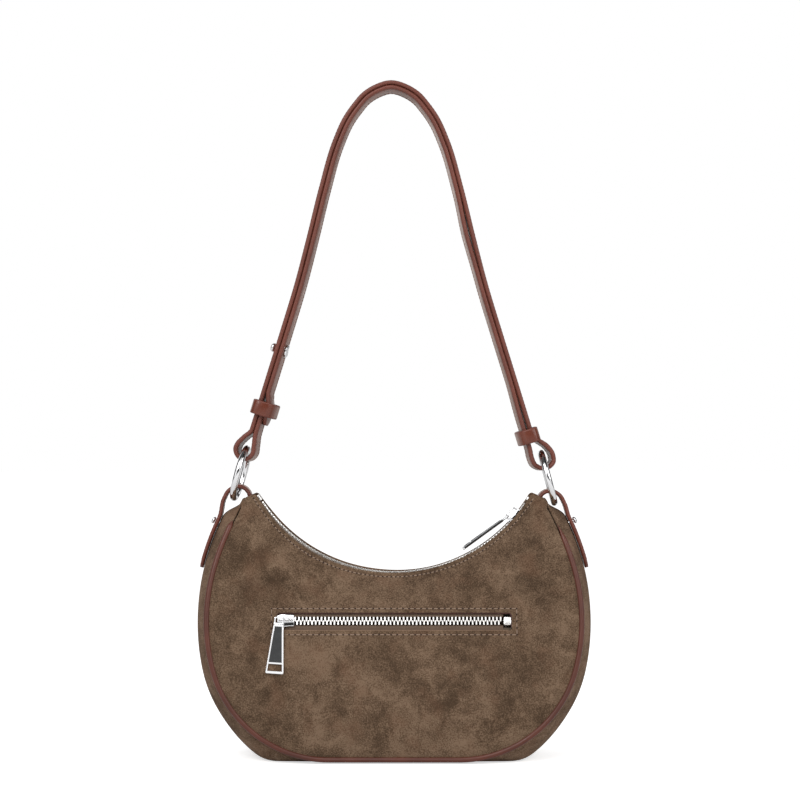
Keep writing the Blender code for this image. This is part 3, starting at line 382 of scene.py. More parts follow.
class Nodes:
    """Builder of one node tree."""

    def __init__(self, tree: bpy.types.NodeTree) -> None:
        """Take the tree to build in."""
        self.tree = tree

    def add(self, kind: str, settings: dict | None = None, **inputs: object) -> bpy.types.Node:
        """Add a node, with plain settings, and inputs that are values or sockets."""
        node = self.tree.nodes.new(kind)
        for key, value in (settings or {}).items():
            setattr(node, key, value)
        for key, value in inputs.items():
            self.feed(node.inputs[key.replace("_", " ")], value)
        return node

    def feed(self, socket: Socket, value: object) -> None:
        """Link a socket to another one, or set its value."""
        if isinstance(value, Socket):
            self.tree.links.new(value, socket)
        else:
            socket.default_value = value

    def blend(self, factor: object, first: object, second: object, mode: str = "MIX") -> Socket:
        """Mix two colours by a factor."""
        node = self.add("ShaderNodeMix", {"data_type": "RGBA", "blend_type": mode})
        for index, value in ((0, factor), (6, first), (7, second)):
            self.feed(node.inputs[index], value)
        return node.outputs[2]

    def math(self, operation: str, *values: object) -> Socket:
        """Combine numbers."""
        node = self.add("ShaderNodeMath", {"operation": operation})
        for index, value in enumerate(values):
            self.feed(node.inputs[index], value)
        return node.outputs[0]

    def ramp(self, factor: object, stops: tuple) -> Socket:
        """Map a number to colours, or to greys where a stop holds one level."""
        node = self.add("ShaderNodeValToRGB")
        self.feed(node.inputs[0], factor)
        band = node.color_ramp.elements
        while len(band) < len(stops):
            band.new(0.5)
        for element, (place, colour) in zip(band, stops):
            element.position = place
            element.color = (*np.broadcast_to(colour, 3), 1.0)
        return node.outputs["Color"]


class Shader(Nodes):
    """Builder of one node material around its Principled shader."""

    def __init__(self, name: str) -> None:
        """Start a material and find its Principled shader."""
        self.material = bpy.data.materials.new(name)
        self.material.use_nodes = True
        super().__init__(self.material.node_tree)
        self.surface = self.tree.nodes["Principled BSDF"]
        self.place = self.add("ShaderNodeTexCoord").outputs["Object"]

    def noise(self, scale: float, detail: float = 4.0, distortion: float = 0.0,
              stretch: Triple = (1.0, 1.0, 1.0)) -> Socket:
        """Noise on Object coordinates, stretched by a Mapping node."""
        mapped = self.add("ShaderNodeMapping", Vector=self.place, Scale=stretch).outputs[0]
        node = self.add("ShaderNodeTexNoise", Vector=mapped, Scale=scale, Detail=detail,
                        Distortion=distortion)
        return node.outputs["Fac"]

    def bump(self, height: object, strength: float, distance: float) -> None:
        """Drive the surface's bump from a height."""
        node = self.add("ShaderNodeBump", Height=height, Strength=strength, Distance=distance)
        self.feed(self.surface.inputs["Normal"], node.outputs[0])

    def set(self, **values: object) -> None:
        """Set or link the Principled shader's own sockets."""
        for key, value in values.items():
            self.feed(self.surface.inputs[key.replace("_", " ")], value)


@dataclass(frozen=True)
class SuedeFinish:
    """Brushed suede: cloudy nap strokes, a speckled grain and a soft sheen."""

    name: str
    dark: Colour
    middle: Colour
    light: Colour
    sheen: float = 0.10
    cloud_scale: float = 30.0
    stroke_scale: float = 85.0
    speck_scale: float = 1150.0
    warm_scale: float = 55.0
    fibre_scale: float = 2400.0
    cloud_stretch: Triple = (1.0, 1.0, 1.2)
    cloud_swirl: float = 0.6
    fibre_stretch: Triple = (1.0, 1.0, 0.45)
    nap_shares: Triple = (0.52, 0.42, 0.64)
    nap_stops: Triple = (0.64, 0.79, 0.94)
    warm_shares: Triple = (1.12, 0.92, 0.88)
    warm_stops: Pairs = ((0.52, 0.0), (0.70, 0.35))
    sheen_tint: Colour = (0.9, 0.78, 0.66)
    speck_height: float = 1.4
    bump: Pair = (0.7, 0.0005)

    def build(self) -> Material:
        """Make the material."""
        shader = Shader(self.name)
        speck = shader.noise(self.speck_scale, 2.0)
        layers = (shader.noise(self.cloud_scale, 3.0, self.cloud_swirl, self.cloud_stretch),
                  shader.noise(self.stroke_scale, 4.0, 1.0), speck)
        parts = [shader.math("MULTIPLY", layer, share) for layer, share in zip(layers, self.nap_shares)]
        nap = shader.math("ADD", shader.math("ADD", parts[0], parts[1]), parts[2])
        colour = shader.ramp(nap, tuple(zip(self.nap_stops, (self.dark, self.middle, self.light))))
        red = shader.ramp(shader.noise(self.warm_scale, 3.0), self.warm_stops)
        warm = [value * share for value, share in zip(self.middle, self.warm_shares)]
        colour = shader.blend(red, colour, (*warm, 1.0))
        shader.set(Base_Color=colour, Roughness=0.95, Sheen_Weight=self.sheen, Sheen_Roughness=0.5,
                   Sheen_Tint=(*self.sheen_tint, 1.0), Specular_IOR_Level=0.08)
        fibre = shader.noise(self.fibre_scale, 3.0, 0.0, self.fibre_stretch)
        height = shader.math("ADD", fibre, shader.math("MULTIPLY", speck, self.speck_height))
        shader.bump(height, *self.bump)
        return shader.material


@dataclass(frozen=True)
class LeatherFinish:
    """Smooth dyed leather: fine pores, slow tone changes and an uneven polish."""

    name: str
    colour: Colour
    deep: Colour
    roughness: float
    grain: float = 1.0
    sheen: float = 0.0
    tone_scale: float = 48.0
    tone_stops: Pair = (0.35, 0.65)
    polish_scale: float = 140.0
    polish_stops: Pair = (0.3, 0.7)
    polish_spread: Pair = (0.06, 0.07)
    pore_scale: float = 1500.0
    crease_scale: float = 420.0
    sheen_tint: Colour = (0.80, 0.66, 0.52)
    bump: Pair = (0.10, 0.0003)

    def build(self) -> Material:
        """Make the material."""
        shader = Shader(self.name)
        stops = tuple(zip(self.tone_stops, (self.deep, self.colour)))
        colour = shader.ramp(shader.noise(self.tone_scale), stops)
        levels = (self.roughness - self.polish_spread[0], self.roughness + self.polish_spread[1])
        rough = shader.ramp(shader.noise(self.polish_scale, 3.0), tuple(zip(self.polish_stops, levels)))
        shader.set(Base_Color=colour, Roughness=rough, Specular_IOR_Level=0.5, Sheen_Weight=self.sheen,
                   Sheen_Roughness=0.35, Sheen_Tint=(*self.sheen_tint, 1.0))
        pores = shader.add("ShaderNodeTexVoronoi", Vector=shader.place, Scale=self.pore_scale)
        height = shader.math("ADD", pores.outputs["Distance"], shader.noise(self.crease_scale, 3.0))
        shader.bump(height, self.bump[0] * self.grain, self.bump[1])
        return shader.material


@dataclass(frozen=True)
class MetalFinish:
    """Bright nickel plate with a faint haze."""

    name: str
    colour: Colour
    roughness: float
    haze_scale: float = 240.0
    haze_stops: Pair = (0.35, 0.75)
    haze_share: float = 1.8
    ripple_scale: float = 900.0
    bump: Pair = (0.02, 0.0002)

    def build(self) -> Material:
        """Make the material."""
        shader = Shader(self.name)
        levels = (self.roughness, self.roughness * self.haze_share)
        rough = shader.ramp(shader.noise(self.haze_scale, 3.0), tuple(zip(self.haze_stops, levels)))
        shader.set(Base_Color=(*self.colour, 1.0), Metallic=1.0, Roughness=rough)
        shader.bump(shader.noise(self.ripple_scale, 2.0), *self.bump)
        return shader.material


@dataclass(frozen=True)
class ClothFinish:
    """Woven cloth: crossed threads at a pitch, with a worn tone."""

    name: str
    colour: Colour
    dark: Colour
    scale: float
    wear_scale: float = 90.0
    tone_shares: Pair = (0.6, 0.4)
    tone_stops: Pair = (0.1, 0.6)
    bump: Pair = (0.35, 0.0002)

    def build(self) -> Material:
        """Make the material."""
        shader = Shader(self.name)
        waves = []
        for axis in ("X", "Z"):
            wave = shader.add("ShaderNodeTexWave", {"bands_direction": axis}, Vector=shader.place,
                              Scale=self.scale, Distortion=1.5, Detail=2.0)
            waves.append(wave.outputs["Fac"])
        weave = shader.math("MULTIPLY", *waves)
        layers = zip((weave, shader.noise(self.wear_scale)), self.tone_shares)
        tone = shader.math("ADD", *[shader.math("MULTIPLY", layer, share) for layer, share in layers])
        colour = shader.ramp(tone, tuple(zip(self.tone_stops, (self.dark, self.colour))))
        shader.set(Base_Color=colour, Roughness=0.85, Specular_IOR_Level=0.2, Sheen_Weight=0.08)
        shader.bump(weave, *self.bump)
        return shader.material


@dataclass(frozen=True)
class ThreadFinish:
    """Sewing thread: a twisted yarn with a soft shine."""

    name: str
    colour: Colour
    deep_share: float = 0.62
    tone_stops: Pair = (0.35, 0.6)
    twist_scale: float = 2600.0
    bump: Pair = (0.25, 0.0002)

    def build(self) -> Material:
        """Make the material."""
        shader = Shader(self.name)
        twist = shader.noise(self.twist_scale, 2.0, 0.0, (1.0, 1.0, 2.0))
        deep = tuple(value * self.deep_share for value in self.colour)
        colour = shader.ramp(twist, tuple(zip(self.tone_stops, (deep, self.colour))))
        shader.set(Base_Color=colour, Roughness=0.62)
        shader.bump(twist, *self.bump)
        return shader.material


FINISHES = {
    "suede": SuedeFinish("brushed_suede", (0.062, 0.038, 0.023), (0.122, 0.077, 0.048),
                         (0.200, 0.132, 0.086)),
    # The gusset is the same suede as the panels, coloured lighter as painted light for the light that falls
    # on the bag's sides.
    "gusset": SuedeFinish("gusset_suede_painted_light", (0.078, 0.047, 0.029), (0.146, 0.093, 0.060),
                          (0.226, 0.150, 0.101), 0.03),
    # The turned suede fold at the slot's lower lip is light tan: a painted highlight where the lip faces the
    # light.
    "fold": LeatherFinish("turned_fold_painted_highlight", (0.290, 0.180, 0.112), (0.235, 0.142, 0.088), 0.7, 0.3),
    "piping": LeatherFinish("piping_leather", (0.106, 0.025, 0.012), (0.076, 0.017, 0.008), 0.45, 0.3),
    "leather": LeatherFinish("strap_leather", (0.150, 0.036, 0.018), (0.115, 0.026, 0.013), 0.30, 0.35,
                             0.30),
    # The slot's welt is red-brown leather; its near-black colour is also painted shade under the slot's
    # upper lip.
    "welt": LeatherFinish("welt_leather_painted_shade", (0.062, 0.014, 0.007), (0.040, 0.009, 0.005), 0.5, 0.3),
    "edge": LeatherFinish("painted_edge", (0.152, 0.038, 0.022), (0.124, 0.030, 0.017), 0.48, 0.25),
    "metal": MetalFinish("bright_nickel", (0.86, 0.86, 0.87), 0.06),
    "field": MetalFinish("black_field", (0.055, 0.056, 0.057), 0.10),
    "teeth": MetalFinish("teeth_nickel", (0.97, 0.95, 0.92), 0.24),
    "tape": ClothFinish("zip_tape_cloth", (0.165, 0.112, 0.080), (0.100, 0.066, 0.046), 1300.0),
    "lining": ClothFinish("lining_cloth", (0.160, 0.120, 0.088), (0.110, 0.080, 0.058), 1100.0),
    "thread": ThreadFinish("seam_thread", (0.300, 0.205, 0.145)),
    "strap_thread": ThreadFinish("strap_thread", (0.150, 0.045, 0.028)),
    # Needle holes: near-black domes, painted shade that stands for the empty holes.
    "hole": LeatherFinish("needle_hole_painted_shade", (0.030, 0.012, 0.006), (0.022, 0.009, 0.005), 0.8),
    "board": LeatherFinish("base_board", (0.05, 0.045, 0.04), (0.04, 0.036, 0.032), 0.7),
}


class Finishes:
    """All finishes of the bag, built once."""

    def __init__(self) -> None:
        """Build every material."""
        self.built = {key: finish.build() for key, finish in FINISHES.items()}

    def __getattr__(self, key: str) -> Material:
        """Give a material by its key."""
        return self.built[key]


STITCH_RINGS = ((-1.0, 0.35), (-0.78, 0.82), (0.0, 1.0), (0.78, 0.82), (1.0, 0.35))
STITCH_SIDES = 6
STITCH_LENGTH_SHARE = 0.96
STITCH_HEIGHT_SHARE = 0.42
HOLE_HEIGHT_SHARE = 0.4
STITCH_SHARP_ANGLE = 80.0


def stitch_shape() -> Solid:
    """One stitch: a capsule of five rings that is thinner at its ends."""
    along, radius = np.array(STITCH_RINGS).T[:, :, None]
    turn = full_turn(STITCH_SIDES)
    return Solid.sweep(xyz(along, radius * np.cos(turn), radius * np.sin(turn)))


def stitches(path: Array, normals: Array, pitch: float, thread: float, hole: float = 0.0) -> Solid:
    """Set stitches end to end along a seam, half sunk into what they hold, with dark domes between them as
    painted shade for the needle holes.

    Args:
        path: Seam line on the surface.
        normals: Surface normals at the seam line's points.
        pitch: Length from one stitch to the next.
        thread: Thread's diameter.
        hole: Diameter of the needle holes, or 0 for none.

    Returns:
        All stitches in one mesh, with finish 1, the painted hole shade, on the holes' dark domes.
    """
    centres, along = resample(path, pitch, pitch / 2)
    nearest = np.linalg.norm(centres[:, None] - path[None], axis=2).argmin(1)
    side = unit(np.cross(along, normals[nearest]))
    up = np.cross(side, along)
    reach = (pitch - hole) / 2 * STITCH_LENGTH_SHARE
    axes = np.stack([along * reach, side * thread / 2, up * thread * STITCH_HEIGHT_SHARE], 1)
    threads = Solid.copies(stitch_shape(), centres, axes)
    if not hole:
        return threads
    # Each needle hole is a flat dark dome on the surface, coloured near black as painted shade.
    axes = np.stack([along, side, up * HOLE_HEIGHT_SHARE], 1) * hole / 2
    hole_shade_domes = Solid.copies(stitch_shape(), centres - along * pitch / 2, axes)
    hole_shade_domes.finishes = np.ones_like(hole_shade_domes.finishes)
    return merged([threads, hole_shade_domes])


# The bag's body


@dataclass
class BodyForm:
    """Analytic form of the bag: its seam outline, panel depth and gusset bulge."""

    side_radius: float = 0.127
    corner_radius: float = 0.0813
    corner_start: float = math.radians(16.1)
    tip_turn: float = math.radians(39.4)
    tip_flare: float = 0.0052
    seam_lift: float = 0.0029
    lip_height: float = 0.1273
    lip_radius: float = 0.1088
    lip_half_gap: float = 0.0095
    seam_half_depth: float = 0.0355
    tip_half_depth: float = 0.0105
    depth_run: float = 0.150
    crown_middle: float = 0.005
    crown_tip: float = 0.0015
    depth_power: float = 1.6
    bulge_side: float = 0.0074
    bulge_corner: float = 0.0127
    bulge_shares: Pair = (0.29, 0.735)
    floor_rounding: float = 0.004
    shoulder: Pair = (0.003, 0.017)
    flat_width_share: float = 0.7
    flat_length_shares: Pair = (0.26, 0.46)
    suede: float = 0.0018
    gap: float = 0.0003
    piping_radius: float = 0.0017
    piping_end: float = 0.017
    pocket_height: float = 0.0956
    pocket_depth: float = 0.024
    pocket_tilt: float = math.radians(16.7)
    fade_x: Pair = (0.090, 0.120)
    fade_z: Pair = (0.012, 0.034)
    plain_end: float = 0.002
    cord_end: float = 0.0105
    narrow_gap: float = 0.0011
    table_steps: int = 401

    def __post_init__(self) -> None:
        """Work out the arcs' centres and lengths and the pocket's directions."""
        self.lip_centre = self.lip_height + self.lip_radius
        reach = self.side_radius - self.corner_radius
        self.corner_x = reach * math.cos(self.corner_start)
        self.corner_z = self.seam_lift + self.corner_radius
        self.side_z = self.corner_z + reach * math.sin(self.corner_start)
        self.corner_length = self.corner_radius * (math.pi / 2 - self.corner_start)
        side_length = self.side_radius * (self.corner_start + self.tip_turn)
        self.half_length = self.corner_x + self.corner_length + side_length
        self.tip_x = self.side_radius * math.cos(self.tip_turn) + self.tip_flare
        self.tip_z = self.side_z + self.side_radius * math.sin(self.tip_turn)
        self.tip_angle = math.atan2(self.tip_x, self.lip_centre - self.tip_z)
        self.pocket_up = np.array([0, math.sin(self.pocket_tilt), math.cos(self.pocket_tilt)])
        self.pocket_out = np.array([0, -math.cos(self.pocket_tilt), math.sin(self.pocket_tilt)])
        places = np.linspace(-self.half_length, self.half_length, self.table_steps)
        self.table = (*self.column(places, 0.0), places)

    def seam(self, place: Array) -> tuple[Array, Array]:
        """Three tangent arcs: a flat bottom, a corner and a side with a flared tip.

        Args:
            place: Signed lengths along the seam from the bottom middle.

        Returns:
            Seam points in the middle plane and outward normals.
        """
        length = np.abs(place)
        side = np.where(place < 0, -1.0, 1.0)
        corner = (length - self.corner_x) / self.corner_radius
        turn = (length - self.corner_x - self.corner_length) / self.side_radius - self.corner_start
        flare = self.tip_flare * np.maximum(0.0, turn / self.tip_turn) ** 4
        pick = [length <= self.corner_x, length <= self.corner_x + self.corner_length]
        x = np.select(pick, [length, self.corner_x + np.sin(corner) * self.corner_radius],
                      np.cos(turn) * self.side_radius + flare)
        low = self.corner_z - np.cos(corner) * self.corner_radius
        z = np.select(pick, [np.full_like(length, self.seam_lift), low],
                      self.side_z + np.sin(turn) * self.side_radius)
        nx = np.select(pick, [np.zeros_like(length), np.sin(corner)], np.cos(turn))
        nz = np.select(pick, [-np.ones_like(length), -np.cos(corner)], np.sin(turn))
        return xyz(x * side, 0, z), xyz(nx * side, 0, nz)

    def seam_depth(self, place: Array) -> Array:
        """Distance from the middle plane to the seam: a parabola from tip to bottom."""
        tip = self.half_length - np.abs(place)
        rise = 1 - (1 - np.minimum(1.0, tip / self.depth_run)) ** 2
        return self.tip_half_depth + (self.seam_half_depth - self.tip_half_depth) * rise

    def room(self, place: Array, narrow: float, gap: float) -> Array:
        """Space left for the cord, which narrows to a plain seam near the tips."""
        tip = self.half_length - np.abs(place)
        run = self.piping_end - self.cord_end - self.plain_end
        return narrow + (self.piping_radius + gap - narrow) * smooth((tip - self.plain_end) / run)

    def column(self, place: Array, inset: Array | float) -> tuple[Array, Array]:
        """Angle and outer distance of a panel column about the top arc's centre."""
        point, normal = self.seam(place)
        edge = point - normal * np.asarray(inset)[..., None]
        drop = self.lip_centre - edge[..., 2]
        return np.arctan2(edge[..., 0], drop), np.hypot(edge[..., 0], drop)

    def depth(self, place: Array, share: Array, x: Array, z: Array, front: bool) -> Array:
        """Distance of a panel from the middle plane: a power curve with a crown, flat at the pocket."""
        swell = 1 - (1 - np.clip(share, 0, 1)) ** self.depth_power
        middle = np.cos(place / self.half_length * math.pi / 2) ** 2
        crown = self.crown_tip + (self.crown_middle - self.crown_tip) * middle
        depth = self.lip_half_gap + (self.seam_depth(place) - self.lip_half_gap) * swell
        depth = depth + crown * np.sin(math.pi * np.clip(share, 0, 1))
        if not front:
            return depth
        flat = smooth((self.fade_x[1] - np.abs(x)) / (self.fade_x[1] - self.fade_x[0]))
        above = self.fade_z[1] - np.abs(z - self.pocket_height)
        flat = flat * smooth(above / (self.fade_z[1] - self.fade_z[0]))
        plane = self.pocket_depth + math.tan(self.pocket_tilt) * (self.pocket_height - z)
        return depth + (plane - depth) * flat

    def panel(self, place: Array, share: Array, front: bool, inset: Array | float) -> Array:
        """Points of a panel on rays from the top arc's centre.

        Args:
            place: Place along the seam of each ray.
            share: Share of the way from the lip to the seam.
            front: Whether it is the front panel.
            inset: Distance that the panel ends inside the seam.

        Returns:
            Points of the panel's middle surface.
        """
        angle, reach = self.column(place, inset)
        radius = self.lip_radius + (reach - self.lip_radius) * share
        x = radius * np.sin(angle)
        z = self.lip_centre - radius * np.cos(angle)
        side = -1.0 if front else 1.0
        return xyz(x, side * self.depth(place, share, x, z, front), z)

    def front_depth(self, x: Array, z: Array) -> Array:
        """Front panel's distance from the middle plane at places seen from the front."""
        drop = self.lip_centre - z
        angle = np.arctan2(x, drop)
        reach = np.interp(angle, self.table[0], self.table[1])
        place = np.interp(angle, self.table[0], self.table[2])
        share = (np.hypot(x, drop) - self.lip_radius) / (reach - self.lip_radius)
        return self.depth(place, share, x, z, True)

    def gusset(self, place: Array, width: Array, inset: float) -> Array:
        """Gusset surface: a bulge out of the seam that flattens on the floor.

        Args:
            place: Places along the seam.
            width: Shares of the half width, from -1 to 1.
            inset: Distance inside the middle surface.

        Returns:
            Points of the surface.
        """
        place, width = np.broadcast_arrays(place, width)
        point, normal = self.seam(place)
        share = np.abs(place) / self.half_length
        low, high = self.bulge_shares
        side_share = smooth((high - share) / (high - low))
        bulge = self.bulge_side + (self.bulge_corner - self.bulge_side) * side_share
        tip = self.half_length - np.abs(place)
        bulge = bulge * smooth((tip - self.shoulder[0]) / self.shoulder[1])
        outer = point + normal * bulge[..., None]
        height = outer[..., 2] - self.suede / 2
        rounding = self.floor_rounding
        lifted = np.where(height < rounding, (height + rounding) ** 2 / (4 * rounding), height)
        outer[..., 2] = np.where(height < -rounding, 0.0, lifted) + self.suede / 2
        near, far = self.flat_length_shares
        flat = self.flat_width_share * smooth((far - share) / (far - near))
        over = np.maximum(0.0, np.abs(width) - flat) / (1 - flat)
        middle = point + (outer - point) * (1 - over ** 2)[..., None] - normal * inset
        narrow = self.room(place, self.suede / 2 + self.gap, self.narrow_gap)
        half = self.seam_depth(place) - np.maximum(inset, narrow)
        return xyz(middle[..., 0], half * width, middle[..., 2])

    def pocket_point(self, along: Array, across: Array, out: Array) -> Array:
        """Pocket lengths on the panel: along X, across up the panel, out of the panel."""
        base = xyz(along, -self.pocket_depth, self.pocket_height)
        base = base + np.asarray(across)[..., None] * self.pocket_up
        return base + np.asarray(out)[..., None] * self.pocket_out


def tucks(place: Array, pitch: float, drift: float, turns: float, depth: float) -> Array:
    """Small gathers along a seam: a sine whose phase drifts by a slower one."""
    return np.sin(place / pitch * 2 * math.pi + drift * np.sin(place * turns)) * depth


@dataclass
class Shell:
    """Suede body: panels, gusset, cord in the seams, lining, seam stitches and the pocket slot's edge."""

    form: BodyForm
    finishes: Finishes
    columns: int = 280
    rows: int = 90
    tip_columns: int = 15
    tip_spread: float = 1.4
    wave_turns: tuple[Triple, ...] = ((41, 1.3, 22), (57, 0.7, 15))
    wave_depth: float = 0.00035
    wave_fade_shares: Pair = (0.12, 0.08)
    panel_tucks: tuple[float, ...] = (0.0105, 3, 31, 0.00010)
    panel_tuck_shares: Triple = (0.90, 0.08, 0.02)
    gusset_tucks: tuple[float, ...] = (0.0093, 2, 43, 0.00012)
    gusset_tuck_shares: Triple = (0.75, 0.2, 0.05)
    gusset_grid: tuple[int, int] = (420, 48)
    smooth_below: Pair = (0.004, 0.01)
    cord_gap: float = 0.0004
    cord_free: Pair = (0.0180, 0.0205)
    cord_taper: Pair = (0.004, 0.013)
    cord_end_shares: Pair = (0.4, 0.12)
    cord_share: float = 1.12
    cord_grid: tuple[int, int] = (420, 16)
    slot_half_length: float = 0.080
    slot_below: float = 0.0069
    slot_above: float = 0.0055
    slot_corner: float = 0.0022
    slot_sides: int = 32
    slot_cut: float = 0.008
    flat_run: float = 0.012
    sewn_half_length: float = 0.0834
    sewn_below: float = 0.0098
    sewn_above: float = 0.0082
    welt_radius: float = 0.0008
    welt_sink: float = 0.0004
    welt_step: float = 0.001
    welt_sides: int = 12
    fold_radius: float = 0.0005
    lip_pitch: float = 0.0030
    lip_row_share: float = 0.985
    lip_probe: float = 0.0004
    lip_points: int = 600
    pocket_points: int = 80
    slot_corner_points: int = 7
    pocket_pitch: float = 0.00407
    thread: float = 0.00085
    hole: float = 0.0011
    top_stitch_drop: float = 0.0032
    tip_corner: float = 0.0030
    front_sag: float = 0.0012
    front_sag_x: float = -0.062
    front_sag_run: float = 0.036
    back_rise: float = 0.0007
    back_rise_x: Pair = (-0.020, 0.030)
    back_rise_run: float = 0.02
    lining: float = 0.0008
    lining_room: float = 0.0006
    lining_end: float = 0.007
    lining_width_share: float = 0.85
    lining_grid: tuple[int, int, int] = (220, 40, 24)
    zip_drop: float = 0.0016
    board: float = 0.0012
    pouch_room: float = 0.0115
    pouch_x: Pair = (0.117, 0.0255)
    pouch_low: Pair = (0.008, 0.025)
    pouch_high: Pair = (0.127, 0.0135)

    def relief(self, grid: Array, place: Array, share: Array) -> Array:
        """Push a panel in and out a little: slow hand-made waves and small tucks at the seam.

        Args:
            grid: Points of the panel's middle surface.
            place: Places along the seam.
            share: Shares from lip to seam.

        Returns:
            The moved points.
        """
        x, z = grid[..., 0], grid[..., 2]
        first, second = self.wave_turns
        slow = np.sin(first[0] * x + first[1] + first[2] * z)
        slow = slow * np.sin(second[0] * z + second[1] - second[2] * x) * self.wave_depth
        start, rise, fall = self.panel_tuck_shares
        near = smooth((share - start) / rise) * smooth((1.0 - share) / fall)
        lip, seam = self.wave_fade_shares
        fade = smooth(share / lip) * smooth((1 - share) / seam)
        middle = self.form.pocket_point(0.0, 0.0, 0.0)[2]
        beside = smooth((np.abs(x) - self.sewn_half_length) / self.flat_run)
        above = smooth((np.abs(z - middle) - self.sewn_below) / self.flat_run)
        fade = fade * np.maximum(beside, above)
        moved = grid.copy()
        moved[..., 1] += np.sign(grid[..., 1]) * (slow * fade + tucks(place, *self.panel_tucks) * near)
        return moved

    def panel_grid(self, front: bool) -> Array:
        """Fine middle surface of a panel, with its lip drawn back by half the wall."""
        form = self.form
        spread = np.linspace(0.0, self.tip_spread, self.tip_columns)[::-1]
        tips = form.half_length - self.tip_corner * spread
        inner = np.linspace(-tips[0], tips[0], self.columns)
        place = np.concatenate([-tips[::-1], inner[1:-1], tips])[:, None]
        share = np.linspace(0.0, 1.0, self.rows)[None, :]
        room = form.room(place, form.gap, self.cord_gap)
        angle, reach = form.column(place, room)
        lift = (form.suede / 2 + self.lip_shift(angle, front)) / (reach - form.lip_radius)
        share = lift + (1 - lift) * share
        return self.relief(form.panel(place, share, front, room), place, share)

    def lip_shift(self, angle: Array, front: bool) -> Array:
        """How far a lip lies below the top arc: round at its tips, slack in front, fuller behind at left.

        Args:
            angle: Angles about the top arc's centre.
            front: Whether it is the front panel's lip.

        Returns:
            Distances outwards from the top arc.
        """
        form = self.form
        tip = (form.tip_angle - np.abs(angle)) * form.lip_radius
        left = np.clip(1 - tip / self.tip_corner, 0.0, 1.0)
        corner = self.tip_corner * (1 - np.sqrt(1 - left ** 2))
        x = form.lip_radius * np.sin(angle)
        if front:
            return corner + self.front_sag * np.exp(-((x - self.front_sag_x) / self.front_sag_run) ** 2)
        start, end = self.back_rise_x
        rise = self.back_rise * smooth((end - x) / (end - start))
        return corner - rise * smooth(tip / self.back_rise_run)

    def cut_slot(self, panel: bpy.types.Object) -> None:
        """Cut the pocket's slot, with rounded ends, through the front panel."""
        turn = full_turn(self.slot_sides)
        corner = self.slot_corner
        middle = (self.slot_above - self.slot_below) / 2
        half = (self.slot_above + self.slot_below) / 2
        upper = np.where(np.arange(self.slot_sides) < self.slot_sides // 2, 1.0, -1.0)
        along = np.sign(np.cos(turn)) * (self.slot_half_length - corner) + corner * np.cos(turn)
        across = middle + upper * (half - corner) + corner * np.sin(turn)
        sheets = [np.full(self.slot_sides, out) for out in (-self.slot_cut, self.slot_cut)]
        rings = np.stack([self.form.pocket_point(along, across, sheet) for sheet in sheets])
        cutter = place_object("slot_cutter", make_mesh("slot_cutter", Solid.sweep(rings), []))
        cut = panel.modifiers.new("slot", "BOOLEAN")
        cut.operation = "DIFFERENCE"
        cut.solver = "EXACT"
        cut.object = cutter
        graph = bpy.context.evaluated_depsgraph_get()
        result = bpy.data.meshes.new_from_object(panel.evaluated_get(graph))
        panel.modifiers.clear()
        panel.data = result
        result.set_sharp_from_angle(angle=math.radians(SHARP_ANGLE))
        bpy.data.objects.remove(cutter, do_unlink=True)

    def build_panels(self) -> None:
        """Make both suede panels and cut the pocket's slot."""
        for name in ("front", "back"):
            solid = Solid.slab(self.panel_grid(name == "front"), self.form.suede)
            panel = add_piece(f"suede_{name}", solid, [self.finishes.suede], "bag",
                              (f"{name}_panel",))
            if name == "front":
                self.cut_slot(panel)

    def build_gusset(self) -> None:
        """Make the gusset, with small tucks along its borders."""
        form = self.form
        runs, rows = self.gusset_grid
        place = np.linspace(-form.half_length, form.half_length, runs)[:, None]
        width = np.linspace(-1.0, 1.0, rows)[None, :]
        grid = form.gusset(place, width, 0.0)
        normals = surface_normals(grid)
        start, rise, fall = self.gusset_tuck_shares
        wave = tucks(place, *self.gusset_tucks)
        wave = wave * smooth((np.abs(width) - start) / rise) * smooth((1 - np.abs(width)) / fall)
        above = smooth((grid[..., 2] - self.smooth_below[0]) / self.smooth_below[1])
        solid = Solid.slab(grid + normals * (wave * above)[..., None], form.suede)
        add_piece("suede_gusset", solid, [self.finishes.gusset], "bag", ("gusset",))

    def build_piping(self) -> None:
        """Make the leather cord in each seam: a circle carried along the seam, tucked in at its ends."""
        form = self.form
        runs, sides = self.cord_grid
        start, end = self.cord_free[0] - form.half_length, form.half_length - self.cord_free[1]
        place = np.linspace(start, end, runs)
        point, normal = form.seam(place)
        turn = full_turn(sides)[None, :, None]
        taper = 1.0
        for distance, run, least in zip((place - start, end - place), self.cord_taper, self.cord_end_shares):
            taper = taper * (least + (1 - least) * smooth(distance / run))
        taper = (taper * self.cord_share)[:, None, None]
        circle = np.cos(turn) * normal[:, None] + np.sin(turn) * np.array([0.0, 1.0, 0.0])
        for name, side in (("front", -1.0), ("back", 1.0)):
            centre = point + xyz(0, side * form.seam_depth(place), 0)
            rings = centre[:, None] + form.piping_radius * taper * circle
            add_piece(f"{name}_cord", Solid.sweep(rings), [self.finishes.piping], "bag",
                      (f"{name}_piping",))

